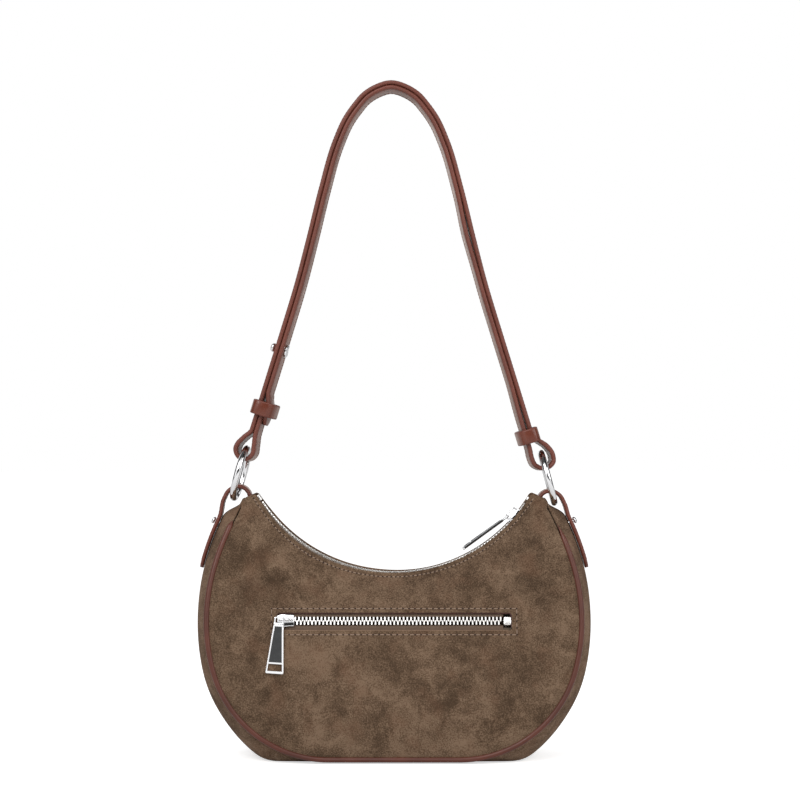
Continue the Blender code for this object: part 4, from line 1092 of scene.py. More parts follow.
    def build_lining(self) -> None:
        """Make the thin cloth lining inside the panels and the gusset."""
        form = self.form
        runs, rows, across = self.lining_grid
        lining_half = self.lining / 2
        top = form.lip_radius + self.zip_drop + lining_half + form.gap
        close = form.suede / 2 + self.lining_room + lining_half
        deep = form.suede / 2 + form.gap + self.board + form.gap + lining_half
        half = form.half_length - self.lining_end
        place = np.linspace(-half, half, runs)[:, None]
        share = np.linspace(0, 1, rows)[None, :]
        angle, reach = form.column(place, deep)
        radius = top + (reach - top) * share
        x = radius * np.sin(angle)
        z = form.lip_centre - radius * np.cos(angle)
        inside = close + (deep - close) * share
        pouch = smooth((self.pouch_x[0] - np.abs(x)) / self.pouch_x[1])
        pouch = pouch * smooth((z - self.pouch_low[0]) / self.pouch_low[1])
        pouch = pouch * smooth((self.pouch_high[0] - z) / self.pouch_high[1])
        walls = []
        for front, side, room in ((True, -1.0, inside + pouch * self.pouch_room), (False, 1.0, inside)):
            walls.append(xyz(x, side * (form.depth(place, share, x, z, front) - room), z))
        width = np.linspace(-self.lining_width_share, self.lining_width_share, across)[None, :]
        floor = form.gusset(place, width, deep)
        grid = np.concatenate([walls[0], floor, walls[1][:, ::-1]], axis=1)
        add_piece("cloth_lining", Solid.slab(grid, self.lining, 2), [self.finishes.lining], "bag",
                  ("lining",))

    def sew(self, name: str, rows: list[Solid]) -> None:
        """Make one piece of rows of seam stitches with their needle holes, drawn as dark domes of painted
        shade.
        """
        add_piece(name, merged(rows), [self.finishes.thread, self.finishes.hole], "bag",
                  sharp=STITCH_SHARP_ANGLE)

    def sew_lips(self) -> None:
        """Sew a row below each lip."""
        form = self.form
        half = form.half_length * self.lip_row_share
        place = np.linspace(-half, half, self.lip_points)[:, None]
        room = form.room(place, form.gap, self.cord_gap)
        angle, reach = form.column(place, room)
        rows = []
        for front in (True, False):
            shift = self.lip_shift(angle, front) + self.top_stitch_drop
            share = (shift + np.array([[-self.lip_probe, 0.0, self.lip_probe]])) / (reach - form.lip_radius)
            grid = self.relief(form.panel(place, share, front, room), place, share)
            normals = surface_normals(grid)[:, 1]
            normals = normals * np.sign(normals[:, 1:2]) * (-1.0 if front else 1.0)
            line = grid[:, 1] + normals * (form.suede / 2)
            rows.append(stitches(line, normals, self.lip_pitch, self.thread, self.hole))
        self.sew("lip_stitches", rows)

    def sew_pocket(self) -> None:
        """Sew a rectangle round the pocket's slot."""
        form = self.form
        reach, low, high = self.sewn_half_length, -self.sewn_below, self.sewn_above
        corners = np.array([(-reach, low), (reach, low), (reach, high), (-reach, high), (-reach, low)])
        sides = []
        for start, end in zip(corners, corners[1:]):
            line = np.linspace(start, end, self.pocket_points)
            points = form.pocket_point(line[:, 0], line[:, 1], 0.0)
            points[:, 1] = -form.front_depth(points[:, 0], points[:, 2])
            points += form.pocket_out * form.suede / 2
            normals = np.broadcast_to(form.pocket_out, points.shape)
            sides.append(stitches(points, normals, self.pocket_pitch, self.thread, self.hole))
        self.sew("pocket_stitches", sides)

    def build_slot_edge(self) -> None:
        """Line the slot: a leather welt over its top and ends, darkened as painted shade under the upper
        lip, and a turned suede fold below, lightened as a painted highlight on the lower lip.
        """
        corner = self.slot_corner
        half = self.slot_half_length
        turn = np.linspace(0, math.pi / 2, self.slot_corner_points)
        high, low = self.slot_above, -self.slot_below
        right = np.stack([half - corner + corner * np.sin(turn), high - corner + corner * np.cos(turn)], 1)
        upper = np.vstack([right, [(half, low + corner)]])
        upper = np.vstack([upper[::-1] * [-1, 1], upper])
        lower = np.array([(-half + corner, low), (half - corner, low)])
        welts = []
        sinks = ((upper, self.welt_radius, self.welt_sink), (lower, self.fold_radius, 0.0))
        for line, radius, sink in sinks:
            path = self.form.pocket_point(line[:, 0], line[:, 1], -sink)
            path, _ = resample(path, self.welt_step)
            welts.append(Solid.tube(path, radius, self.welt_sides))
        # The lower fold takes the light tan finish, a painted highlight.
        welts[1].finishes = np.ones_like(welts[1].finishes)
        add_piece("slot_facing", merged(welts), [self.finishes.welt, self.finishes.fold], "bag")

    def build(self) -> None:
        """Make every piece of the body."""
        self.build_panels()
        self.build_gusset()
        self.build_piping()
        self.build_lining()
        self.sew_lips()
        self.sew_pocket()
        self.build_slot_edge()


# Zips


MM_PER_M = 1000
TOOTH_OUTLINE_MM = (
    (-0.62, 3.0), (-0.62, 1.2), (-0.50, 0.75), (-0.58, 0.20), (-0.52, -0.35), (-0.25, -0.70),
    (0.25, -0.70), (0.52, -0.35), (0.58, 0.20), (0.50, 0.75), (0.62, 1.2), (0.62, 3.0),
)
TOOTH_MIDDLE_MM = (0.0, 1.3)
TOOTH_SHARES = ((-1.0, 0.80), (-0.72, 1.0), (0.72, 1.0), (1.0, 0.80))
BLOCK_SIDES = 24
BLOCK_POWER = 0.42
BLOCK_SHARES = ((0.0, 0.82), (0.08, 0.96), (0.2, 1.0), (0.8, 1.0), (0.92, 0.96), (1.0, 0.82))


@dataclass
class ZipForm:
    """Sizes that both zips share."""

    tape: float = 0.0008
    tape_reach: float = 0.0083
    tape_grid: tuple[int, int] = (160, 14)
    probe: float = 1e-5
    half_width: float = 0.003
    half_height: float = 0.0016
    pitch: float = 0.00254
    first_share: float = 0.4
    last_share: float = 0.1
    block_half: float = 0.0031
    block_height: float = 0.0021
    slider_length: float = 0.0115
    slider_half: float = 0.00445
    slider_runs: int = 31
    slider_shares: Pairs = (
        (-0.5, 0.35), (-0.46, 0.62), (-0.40, 0.82), (-0.32, 0.96), (-0.2, 1.0), (0.0, 0.98), (0.18, 0.92),
        (0.45, 0.90), (0.5, 0.84),
    )
    slider_angles: Pair = (40.0, 45.0)
    plate: float = 0.0011
    plate_rim: float = 0.0004
    plate_round: Pair = (0.0007, 0.0002)
    plate_drop: Pair = (0.0002, 0.0006)
    plate_crown: float = 0.00012
    gap: float = 0.0003
    bridge_half: float = 0.0044
    bridge_rise: float = 0.00305
    bridge_shares: tuple[float, ...] = (-1.0, -1.0, -0.9, -0.62, 0.0, 0.62, 0.9, 1.0, 1.0)
    bridge_foot: float = 0.0006
    bridge_drops: Pair = (0.0018, 0.0006)
    bridge_steps: int = 5
    bridge_sides: int = 12
    wire: float = 0.001
    puller_length: float = 0.039
    puller_parts: float = 39
    puller_rows: tuple[float, ...] = (
        0, 0.3, 0.9, 1.0, 2.2, 4.1, 4.6, 5.4, 5.6, 6.8, 12, 20, 31.1, 31.4, 32.5, 32.8, 34.5, 37.0, 37.4,
        38.3, 38.8, 39.0)
    eye_rows: Pair = (0.9, 4.15)
    field_rows: Pair = (6.75, 31.45)
    window_rows: Pair = (32.45, 37.45)
    puller_width_rows: tuple[float, ...] = (0, 0.3, 0.9, 4.6, 5.6, 38.3, 38.8, 39)
    puller_half_widths_mm: tuple[float, ...] = (2.2, 3.0, 3.4, 3.4, 3.5, 6.25, 6.05, 5.55)
    puller_rim: float = 0.0012
    puller_edge: float = 0.0003
    puller_edge_share: float = 0.55
    puller_angles: Pair = (30.0, 40.0)
    field_depth: float = 0.0005
    eye_half_opening: float = 0.0023
    puller_thick: float = 0.0018
    eye_thick: float = 0.001
    eye_length: float = 0.0046
    eye_blend: float = 0.001
    eye_room: float = 0.0005
    soft_edge: float = 0.00018

    def tooth(self) -> Solid:
        """One metal tooth: an outline with a rounded head, drawn out to its height with chamfers."""
        outline = np.array(TOOTH_OUTLINE_MM) / MM_PER_M
        middle = np.array(TOOTH_MIDDLE_MM) / MM_PER_M
        rings = []
        for height, share in TOOTH_SHARES:
            ring = middle + (outline - middle) * share
            rings.append(xyz(ring[:, 0], ring[:, 1], height * self.half_height))
        return Solid.sweep(np.stack(rings))


@dataclass
class Zip:
    """A zip on a mapping from its own lengths to the bag."""

    prefix: str
    form: ZipForm
    body: BodyForm
    finishes: Finishes
    start: float
    end: float
    sides: tuple[tuple[str, float], tuple[str, float]]

    def point(self, along: Array, across: Array, out: Array) -> Array:
        """Map lengths along, across and out of the zip to the bag."""
        raise NotImplementedError

    def axes(self, along: Array) -> Array:
        """Unit axes along, across and out of the zip at places along it."""
        step = self.form.probe
        zero = np.zeros_like(along)
        base = self.point(along, zero, zero)
        moved = [self.point(along + step, zero, zero), self.point(along, zero + step, zero),
                 self.point(along, zero, zero + step)]
        return np.stack([unit(place - base) for place in moved], 1)

    def build_sides(self) -> None:
        """Make both tapes, and both rows of teeth, half a pitch off each other."""
        form = self.form
        runs, rows = form.tape_grid
        count = int((self.end - self.start) / form.pitch - form.last_share)
        for name, side in self.sides:
            along = np.linspace(self.start, self.end, runs)[:, None]
            across = side * np.linspace(form.half_width + form.gap, form.tape_reach, rows)[None, :]
            grid = self.point(along, across, np.zeros((1, 1)))
            add_piece(f"{self.prefix}_cloth_{name}", Solid.slab(grid, form.tape, 3), [self.finishes.tape],
                      "bag", (f"{self.prefix}_tape_{name}",))
            shift = 0.0 if side < 0 else 0.5
            along = self.start + form.pitch * (np.arange(count) + form.first_share + shift)
            axes = self.axes(along)
            axes[:, 1] *= side
            centres = self.point(along, 0 * along, 0 * along)
            add_piece(f"{self.prefix}_row_{name}", Solid.copies(form.tooth(), centres, axes),
                      [self.finishes.teeth], "bag", (f"{self.prefix}_teeth_{name}",))

    def build_block(self, name: str, along: Pair, across: Pair, node: str) -> None:
        """Make a pressed metal stop: a box whose section is a rounded rectangle.

        Args:
            name: Name of the piece.
            along: Its two ends along the zip.
            across: Its two sides.
            node: CAD node that it stands for.
        """
        wide, tall = superellipse(full_turn(BLOCK_SIDES), BLOCK_POWER)
        share, size = np.array(BLOCK_SHARES).T[:, :, None]
        middle, half = (across[0] + across[1]) / 2, (across[1] - across[0]) / 2
        rings = self.point(along[0] + (along[1] - along[0]) * share, middle + half * wide * size,
                           self.form.block_height * tall * size)
        add_piece(name, Solid.sweep(rings), [self.finishes.teeth], "bag", (node,))

    def slider_plate(self, centre: float, sign: float) -> Solid:
        """One plate of the slider: a pear-shaped outline, domed a little, with a flange down each side."""
        form = self.form
        share = np.linspace(-0.5, 0.5, form.slider_runs)
        inner = form.half_height + form.gap
        outer = inner + form.plate
        lip = form.tape / 2 + form.gap
        wall = form.half_width + form.gap
        half = np.interp(share, *np.array(form.slider_shares).T) * form.slider_half
        half = np.maximum(half, wall + form.plate_rim)[:, None]
        wall = np.full_like(half, wall)
        right = np.hstack([half - form.plate_round[0], half - form.plate_round[1], half, half, wall, wall])
        across = np.hstack([-right[:, ::-1], 0 * half, right])
        down = [outer, outer - form.plate_drop[0], outer - form.plate_drop[1], lip, lip, inner]
        out = np.array([*down[::-1], outer + form.plate_crown, *down])
        return Solid.sweep(self.point(centre + share[:, None] * form.slider_length, across, sign * out))

    def bridge(self, centre: float) -> Solid:
        """The arch that holds the puller: a round wire with both ends on the upper plate."""
        form = self.form
        top = form.half_height + form.gap + form.plate
        rod = top + form.bridge_rise
        left = [top - form.bridge_foot, rod - form.bridge_drops[0], rod - form.bridge_drops[1], rod]
        heights = [*left, rod, *left[::-1]]
        key = np.stack([np.array(form.bridge_shares) * form.bridge_half, heights], 1)
        path = spline(key, form.bridge_steps)
        points = self.point(centre + path[:, 0], 0 * path[:, 0], path[:, 1])
        return Solid.tube(points, form.wire / 2, form.bridge_sides)

    def build_slider(self, name: str, centre: float, body: str) -> None:
        """Make the slider from two plates and its bridge."""
        plates = [self.slider_plate(centre, sign) for sign in (1.0, -1.0)]
        solid = merged([*plates, self.bridge(centre)])
        sharp, soft = self.form.slider_angles
        item = add_piece(name, solid, [self.finishes.metal], body, (body,), sharp)
        soften(item, self.form.soft_edge, soft)

    def build_puller(self, name: str, origin: Array, down: Array, side: Array, outward: Array,
                     body: str) -> None:
        """Make the puller: an eye, a plate with a sunk blank field and a window near its end.

        The plate is a table of cells over its length and width: full, sunk or open.

        Args:
            name: Name of the piece.
            origin: Middle of the eye's outer end.
            down: Direction of the puller's length.
            side: Direction of its width.
            outward: Direction of its visible face.
            body: CAD body that carries it, named like the node that it stands for.
        """
        form = self.form
        parts = np.array(form.puller_rows)
        rows = parts / form.puller_parts * form.puller_length
        width_rows = np.array(form.puller_width_rows) / form.puller_parts * form.puller_length
        eye = form.eye_length
        half = np.interp(rows, width_rows, np.array(form.puller_half_widths_mm) / MM_PER_M)
        thick = np.interp(rows, [eye, eye + form.eye_blend], [form.eye_thick / 2, form.puller_thick / 2])
        inner = np.where(rows < eye + form.eye_room, form.eye_half_opening, half - form.puller_rim)
        across = np.stack([-half, -half + form.puller_edge, -inner, inner, half - form.puller_edge, half], 1)
        cells = np.ones(np.array(across.shape) - 1, int)
        for kind, (low, high) in ((0, form.eye_rows), (0, form.window_rows), (2, form.field_rows)):
            inside = (parts >= low) & (parts <= high)
            cells[inside[:-1] & inside[1:], 2] = kind
        share = form.puller_edge_share
        levels = thick[:, None] * np.array([share, 1.0, 1.0, 1.0, 1.0, share])
        along = np.broadcast_to(rows[:, None], across.shape)
        sheets = [xyz(along, across, height) for height in (-levels, levels, levels - form.field_depth)]
        local = np.concatenate([sheet.reshape(-1, 3) for sheet in sheets])
        low_at, top_at, deep_at = np.arange(len(local)).reshape(len(sheets), *across.shape)
        faces, marks = cell_faces(cells, low_at, top_at, deep_at)
        used, faces = np.unique(faces, return_inverse=True)
        local = local[used]
        placed = origin + local[:, :1] * down + local[:, 1:2] * side + local[:, 2:3] * outward
        solid = Solid(placed, faces.reshape(-1, 4).tolist(), marks)
        finishes = [self.finishes.metal, self.finishes.field]
        sharp, soft = form.puller_angles
        soften(add_piece(name, solid, finishes, body, (body,), sharp), form.soft_edge, soft)


def cell_faces(cells: Array, low: Array, top: Array, deep: Array) -> tuple[Array, Array]:
    """Faces of a plate whose cells are open (0), full (1) or sunk (2).

    Args:
        cells: Kind of each cell.
        low: Point numbers of the plate's lower sheet.
        top: Point numbers of its upper sheet.
        deep: Point numbers of the sunk fields' floor.

    Returns:
        Faces of four corners, and their finish: 1 on the sunk floors.
    """
    def corners(sheet: Array) -> Array:
        """Four point numbers of each cell of a sheet."""
        return np.stack([sheet[:-1, :-1], sheet[1:, :-1], sheet[1:, 1:], sheet[:-1, 1:]], -1)

    faces = [corners(low)[cells > 0], corners(top)[cells == 1][:, ::-1], corners(deep)[cells == 2][:, ::-1]]
    marks = [np.zeros(len(faces[0]), int), np.zeros(len(faces[1]), int), np.ones(len(faces[2]), int)]
    ring = np.pad(cells, 1)
    roof = {1: top, 2: deep}
    sides = ((ring[:-2, 1:-1], (slice(None, -1), slice(None, -1)), (slice(None, -1), slice(1, None))),
             (ring[2:, 1:-1], (slice(1, None), slice(1, None)), (slice(1, None), slice(None, -1))),
             (ring[1:-1, :-2], (slice(1, None), slice(None, -1)), (slice(None, -1), slice(None, -1))),
             (ring[1:-1, 2:], (slice(None, -1), slice(1, None)), (slice(1, None), slice(1, None))))
    for beside, p, q in sides:
        walls = [((cells == kind) & (beside == 0), low, roof[kind]) for kind in (1, 2)]
        walls.append(((cells == 2) & (beside == 1), deep, top))
        for mask, under, over in walls:
            faces.append(np.stack([under[p], under[q], over[q], over[p]], -1)[mask])
            marks.append(np.zeros(len(faces[-1]), int))
    return np.concatenate(faces), np.concatenate(marks)


def soften(item: bpy.types.Object, width: float, angle: float) -> None:
    """Round the sharp edges of a pressed or cast piece.

    Args:
        item: The piece.
        width: Width of the rounding.
        angle: Edges sharper than this are rounded, in degrees.
    """
    bevel = item.modifiers.new("soft_edges", "BEVEL")
    bevel.width = width
    bevel.segments = 2
    bevel.limit_method = "ANGLE"
    bevel.angle_limit = math.radians(angle)


@dataclass
class TopZip(Zip):
    """The main zip, which lies on an arc below the panels' lips."""

    drop: float = 0.0016
    tip_room: float = 0.0074
    slider_tip_room: float = 0.0207
    tilt: float = math.radians(12.5)
    stop_gap: float = 0.0008
    closed_length: float = 0.0045
    open_length: float = 0.0024
    open_inner: float = 0.0006

    def point(self, along: Array, across: Array, out: Array) -> Array:
        """Polar place about the top arc's centre, with across along Y."""
        radius = self.body.lip_radius + self.drop
        angle = along / radius
        reach = radius - out
        return xyz(reach * np.sin(angle), across, self.body.lip_centre - reach * np.cos(angle))

    def build(self) -> None:
        """Make the tapes, teeth, stops, slider and puller."""
        form = self.form
        self.build_sides()
        start = self.end + self.stop_gap
        self.build_block("closed_end", (-start - self.closed_length, -start),
                         (-form.block_half, form.block_half), "top_end_stop")
        for name, side in self.sides:
            across = tuple(sorted((side * self.open_inner, side * form.block_half)))
            self.build_block(f"open_end_{name}", (start, start + self.open_length), across,
                             f"top_stop_{name}")
        radius = self.body.lip_radius + self.drop
        centre = self.body.tip_angle * radius - self.slider_tip_room
        self.build_slider("main_slider", centre, "top_slider")
        rod = form.half_height + form.gap + form.plate + form.bridge_rise - form.wire / 2
        bar_along = centre - form.bridge_half + form.wire / 2 + form.gap + form.wire / 2
        bar = self.point(np.array(bar_along), np.array(0.0), np.array(rod - form.gap - form.eye_thick / 2))
        slope = bar_along / radius - self.tilt
        down = np.array([-math.cos(slope), 0, -math.sin(slope)])
        outward = np.array([-math.sin(slope), 0, math.cos(slope)])
        self.build_puller("main_puller", bar - down * form.wire / 2, down, np.array([0.0, 1.0, 0.0]),
                          outward, "top_puller")


@dataclass
class PocketZip(Zip):
    """The pocket's zip, which lies flat behind the slot."""

    first_x: float = -0.0797
    last_x: float = 0.0742
    block_x: Pair = (0.0745, 0.0797)
    slider_x: float = -0.0737
    lean: float = math.radians(4.0)
    pouch_half_width: float = 0.0845
    pouch_columns: int = 60
    pouch_runs: tuple[tuple[float, float, int], ...] = (
        (0.1000, 0.1065, 8), (0.1065, 0.040, 40), (0.040, 0.0905, 30),
    )
    pouch_depth: float = 0.0094
    pouch_room: float = 0.0004
    pouch_cloth: float = 0.0006

    def point(self, along: Array, across: Array, out: Array) -> Array:
        """Place on the pocket's plane, with the tape behind the panel."""
        plane = self.body.suede / 2 + self.form.gap + self.form.tape / 2
        return self.body.pocket_point(along, across, np.asarray(out) - plane)

    def build(self) -> None:
        """Make the tapes, teeth, stop, slider, puller and pouch."""
        form = self.form
        self.build_sides()
        self.build_block("pocket_block", self.block_x, (-form.block_half, form.block_half),
                         "pocket_end_stop")
        self.build_slider("small_slider", self.slider_x, "pocket_slider")
        rod = form.half_height + form.gap + form.plate + form.bridge_rise
        limb = rod - form.wire / 2 - form.gap - form.eye_thick / 2
        length = form.wire + form.gap + math.hypot(form.wire / 2, form.wire / 2)
        hinge = self.point(np.array(self.slider_x - form.bridge_half), np.array(0.0), np.array(limb))
        up = self.body.pocket_up
        right = np.array([1.0, 0.0, 0.0])
        side = right * math.cos(self.lean) - up * math.sin(self.lean)
        down = -up * math.cos(self.lean) - right * math.sin(self.lean)
        self.build_puller("small_puller", hinge - down * length, down, side, self.body.pocket_out,
                          "pocket_puller")
        self.build_pouch()

    def build_pouch(self) -> None:
        """Make the cloth pouch behind the slot: a flat sack that follows the panel, with an open mouth."""
        body = self.body
        front = body.suede / 2 + self.form.gap + self.form.tape + self.form.gap
        x = np.linspace(-self.pouch_half_width, self.pouch_half_width, self.pouch_columns)[None, :]
        walls = []
        for (start, end, rows), depth in zip(self.pouch_runs, (0.0, self.pouch_depth, 0.0)):
            z = np.linspace(start, end, rows)[:, None]
            walls.append(xyz(x, -body.front_depth(x, z) + (front + depth) + self.pouch_room, z))
        grid = np.concatenate(walls, axis=0).transpose(1, 0, 2)
        add_piece("cloth_pouch", Solid.slab(grid, self.pouch_cloth, 2), [self.finishes.lining], "bag",
                  ("pocket_bag",))


# Rings, tabs and strap


@dataclass
class RingForm:
    """Sizes and places of the rings that carry the strap."""

    body: BodyForm
    wire: float = 0.00225
    radius: float = 0.01775
    beyond_tip: float = 0.00266
    above_tip: float = 0.01452
    lifts: Pair = (0.0032, 0.0)
    lean: float = math.radians(15.0)
    turns: Pair = (math.radians(4.0), math.radians(2.0))
    runs: int = 120
    sides: int = 24

    def __post_init__(self) -> None:
        """Set the rings out from the body's tips."""
        self.centre_x = self.body.tip_x + self.beyond_tip
        self.centre_z = self.body.tip_z + self.above_tip

    def centre(self, side: float) -> Array:
        """Centre of the left (-1) or right (1) ring."""
        lift = self.lifts[0] if side < 0 else self.lifts[1]
        return np.array([side * self.centre_x, 0, self.centre_z + lift])

    def bar(self, side: float) -> Array:
        """Wire's centre at a ring's bottom, mirrored to the right."""
        centre = self.centre(side) * [side, 1, 1]
        return centre - self.radius * np.array([-math.sin(self.lean), 0, math.cos(self.lean)])


@dataclass
class Strip:
    """A flat leather strip with half-round edges, carried along a path in the XZ plane."""

    path: Array
    widths: Array
    thickness: float
    steps: int = 6

    def __post_init__(self) -> None:
        """Work out the outer face's normals and the directions across."""
        along = unit(np.gradient(self.path, axis=0))
        self.normals = xyz(-along[:, 2], 0, along[:, 0])
        self.across = np.broadcast_to(np.array([0.0, 1.0, 0.0]), self.path.shape)

    def solid(self) -> Solid:
        """The strip's body, with finish 1 on its edges."""
        side, offset, height, marks = rounded_section(self.thickness, self.steps)
        reach = side * (self.widths[:, None] - self.thickness / 2) + offset
        rings = self.path[:, None] + self.across[:, None] * reach[..., None]
        rings = rings + self.normals[:, None] * height[None, :, None]
        return Solid.sweep(rings, marks=marks)

    def stitches(self, keep: slice, inset: float, pitch: float, thread: float) -> Solid:
        """Sew a row by each edge, on both faces.

        Args:
            keep: Stretch of the path that is sewn.
            inset: Distance from the edges.
            pitch: Length from one stitch to the next.
            thread: Thread's diameter.

        Returns:
            All stitches in one mesh.
        """
        rows = []
        for edge in (-1.0, 1.0):
            for face in (-1.0, 1.0):
                line = self.path + self.normals * face * self.thickness / 2
                line = line + self.across * (edge * (self.widths - inset))[:, None]
                rows.append(stitches(line[keep], self.normals[keep] * face, pitch, thread))
        return merged(rows)


def round_end(path: Array, half: float, start: float, run: float, least_share: float) -> Array:
    """Half widths of a strip whose last end is rounded like a quarter of an ellipse.

    Args:
        path: Middle line of the strip.
        half: Half width away from the end.
        start: Length that the rounding is taken to have begun before the path's end.
        run: Length of the rounding.
        least_share: Square of the share of the width that stays at the end.

    Returns:
        One half width for each point.
    """
    over = np.maximum(0.0, 1 - (running_length(path[::-1])[::-1] + start) / run)
    return half * np.sqrt(np.maximum(least_share, 1 - over ** 2))


@dataclass
class Carriers:
    """Rings, the tabs that hold them and the tabs' studs."""

    body: BodyForm
    ring: RingForm
    finishes: Finishes
    thickness: float = 0.0024
    width: float = 0.0145
    reach: float = 0.008
    arch_shares: Pairs = (
        (-1.42, 0.10), (-1.28, 0.50), (-0.95, 0.86), (-0.30, 1.03), (0.40, 0.68), (0.84, -0.05),
    )
    leg_start: float = 0.0205
    leg_end: float = 0.0560
    leg_step: float = 0.0063
    path_steps: int = 14
    end_start: float = 0.0004
    end_run_share: float = 0.9
    end_least_share: float = 0.02
    sewn_share: float = 0.93
    stud_place: float = 0.0044
    stud_ball: float = 0.0026
    stud_flatness: float = 0.5
    stud_sides: int = 32
    clearance: float = 0.0004
    gap: float = 0.0003
    stitch_pitch: float = 0.0026
    stitch_inset: float = 0.0017
    thread: float = 0.0005

    def build_rings(self) -> None:
        """Make both rings: a circle of wire carried round a leaning circle."""
        form = self.ring
        turn = full_turn(form.runs)[:, None]
        spin = full_turn(form.sides)[None, :, None]
        for name, side, twist in (("left", -1.0, form.turns[0]), ("right", 1.0, form.turns[1])):
            up = np.array([-side * math.sin(form.lean), 0, math.cos(form.lean)])
            axis = unit(np.cross(up, [math.sin(twist), math.cos(twist), 0]))
            back = np.cross(axis, up)
            out = np.cos(turn) * up + np.sin(turn) * back
            wire = form.centre(side) + out * form.radius
            rings = wire[:, None] + form.wire * (np.cos(spin) * out[:, None] + np.sin(spin) * axis)
            add_piece(f"wire_ring_{name}", Solid.sweep(rings, True), [self.finishes.metal], f"ring_{name}",
                      (f"ring_{name}",))

    def leg(self, length: Array, stand: float) -> Array:
        """Points beside the gusset at lengths from the right tip."""
        place = self.body.half_length - np.atleast_1d(length)
        _, normal = self.body.seam(place)
        return self.body.gusset(place, np.zeros_like(place), 0.0) + normal * stand

    def tab_path(self, side: float) -> Array:
        """Tab's path, as on the right: out of the tip, over the ring's wire and down the gusset."""
        arch = self.ring.bar(side) + np.array([(x, 0, z) for x, z in self.arch_shares]) * self.reach
        count = round((self.leg_end - self.leg_start) / self.leg_step) + 1
        stand = self.body.suede / 2 + self.clearance + self.thickness / 2
        leg = self.leg(np.linspace(self.leg_start, self.leg_end, count), stand)
        return spline(np.vstack([arch, leg]), self.path_steps) * [side, 1, 1]

    def build_tab(self, name: str, side: float) -> None:
        """Make one leather tab with a round end, and its border stitches."""
        path = self.tab_path(side)
        half = self.width / 2
        widths = round_end(path, half, self.end_start, half * self.end_run_share, self.end_least_share)
        strip = Strip(path, widths, self.thickness)
        add_piece(f"leather_tab_{name}", strip.solid(), [self.finishes.leather, self.finishes.edge], "bag",
                  (f"tab_{name}",))
        keep = slice(2, int(len(path) * self.sewn_share))
        rows = strip.stitches(keep, self.stitch_inset, self.stitch_pitch, self.thread)
        add_piece(f"tab_stitches_{name}", rows, [self.finishes.strap_thread], "bag",
                  sharp=STITCH_SHARP_ANGLE)

    def build_stud(self, name: str, side: float) -> None:
        """Make the ball stud that holds a tab to the gusset."""
        place = np.array([self.body.half_length - self.leg_start - self.stud_place])
        _, normal = self.body.seam(place)
        axis = normal[0] * [side, 1, 1]
        foot = self.body.gusset(place, np.zeros(1), 0.0)[0] * [side, 1, 1] - axis * self.body.suede / 2
        reach = self.body.suede + self.clearance + self.thickness + self.gap
        ball = ball_profile(reach + self.gap, self.stud_ball, self.stud_flatness)
        stud = Solid.lathe(foot, axis, np.vstack([[(0.0, STUD_POST)], ball]), self.stud_sides)
        add_piece(f"ball_stud_{name}", stud, [self.finishes.metal], "bag",
                  (f"tab_stud_{name}",))

    def build(self) -> None:
        """Make rings, tabs and studs."""
        self.build_rings()
        for name, side in (("left", -1.0), ("right", 1.0)):
            self.build_tab(name, side)
            self.build_stud(name, side)


STUD_POST = 0.0012
BALL_TOP_SHARE = 0.985
BALL_STEPS = 17


def ball_profile(start: float, radius: float, flatness: float) -> Array:
    """Profile of a flattened ball that sits on a thin post.

    Args:
        start: Height where the ball leaves the post.
        radius: Radius of the ball.
        flatness: Share of the radius that its height has.

    Returns:
        Heights and radii in order.
    """
    low = math.acos(STUD_POST / radius)
    turn = np.linspace(-low, math.pi / 2 * BALL_TOP_SHARE, BALL_STEPS)
    centre = start + radius * flatness * math.sin(low)
    return np.stack([centre + radius * flatness * np.sin(turn), radius * np.cos(turn)], 1)


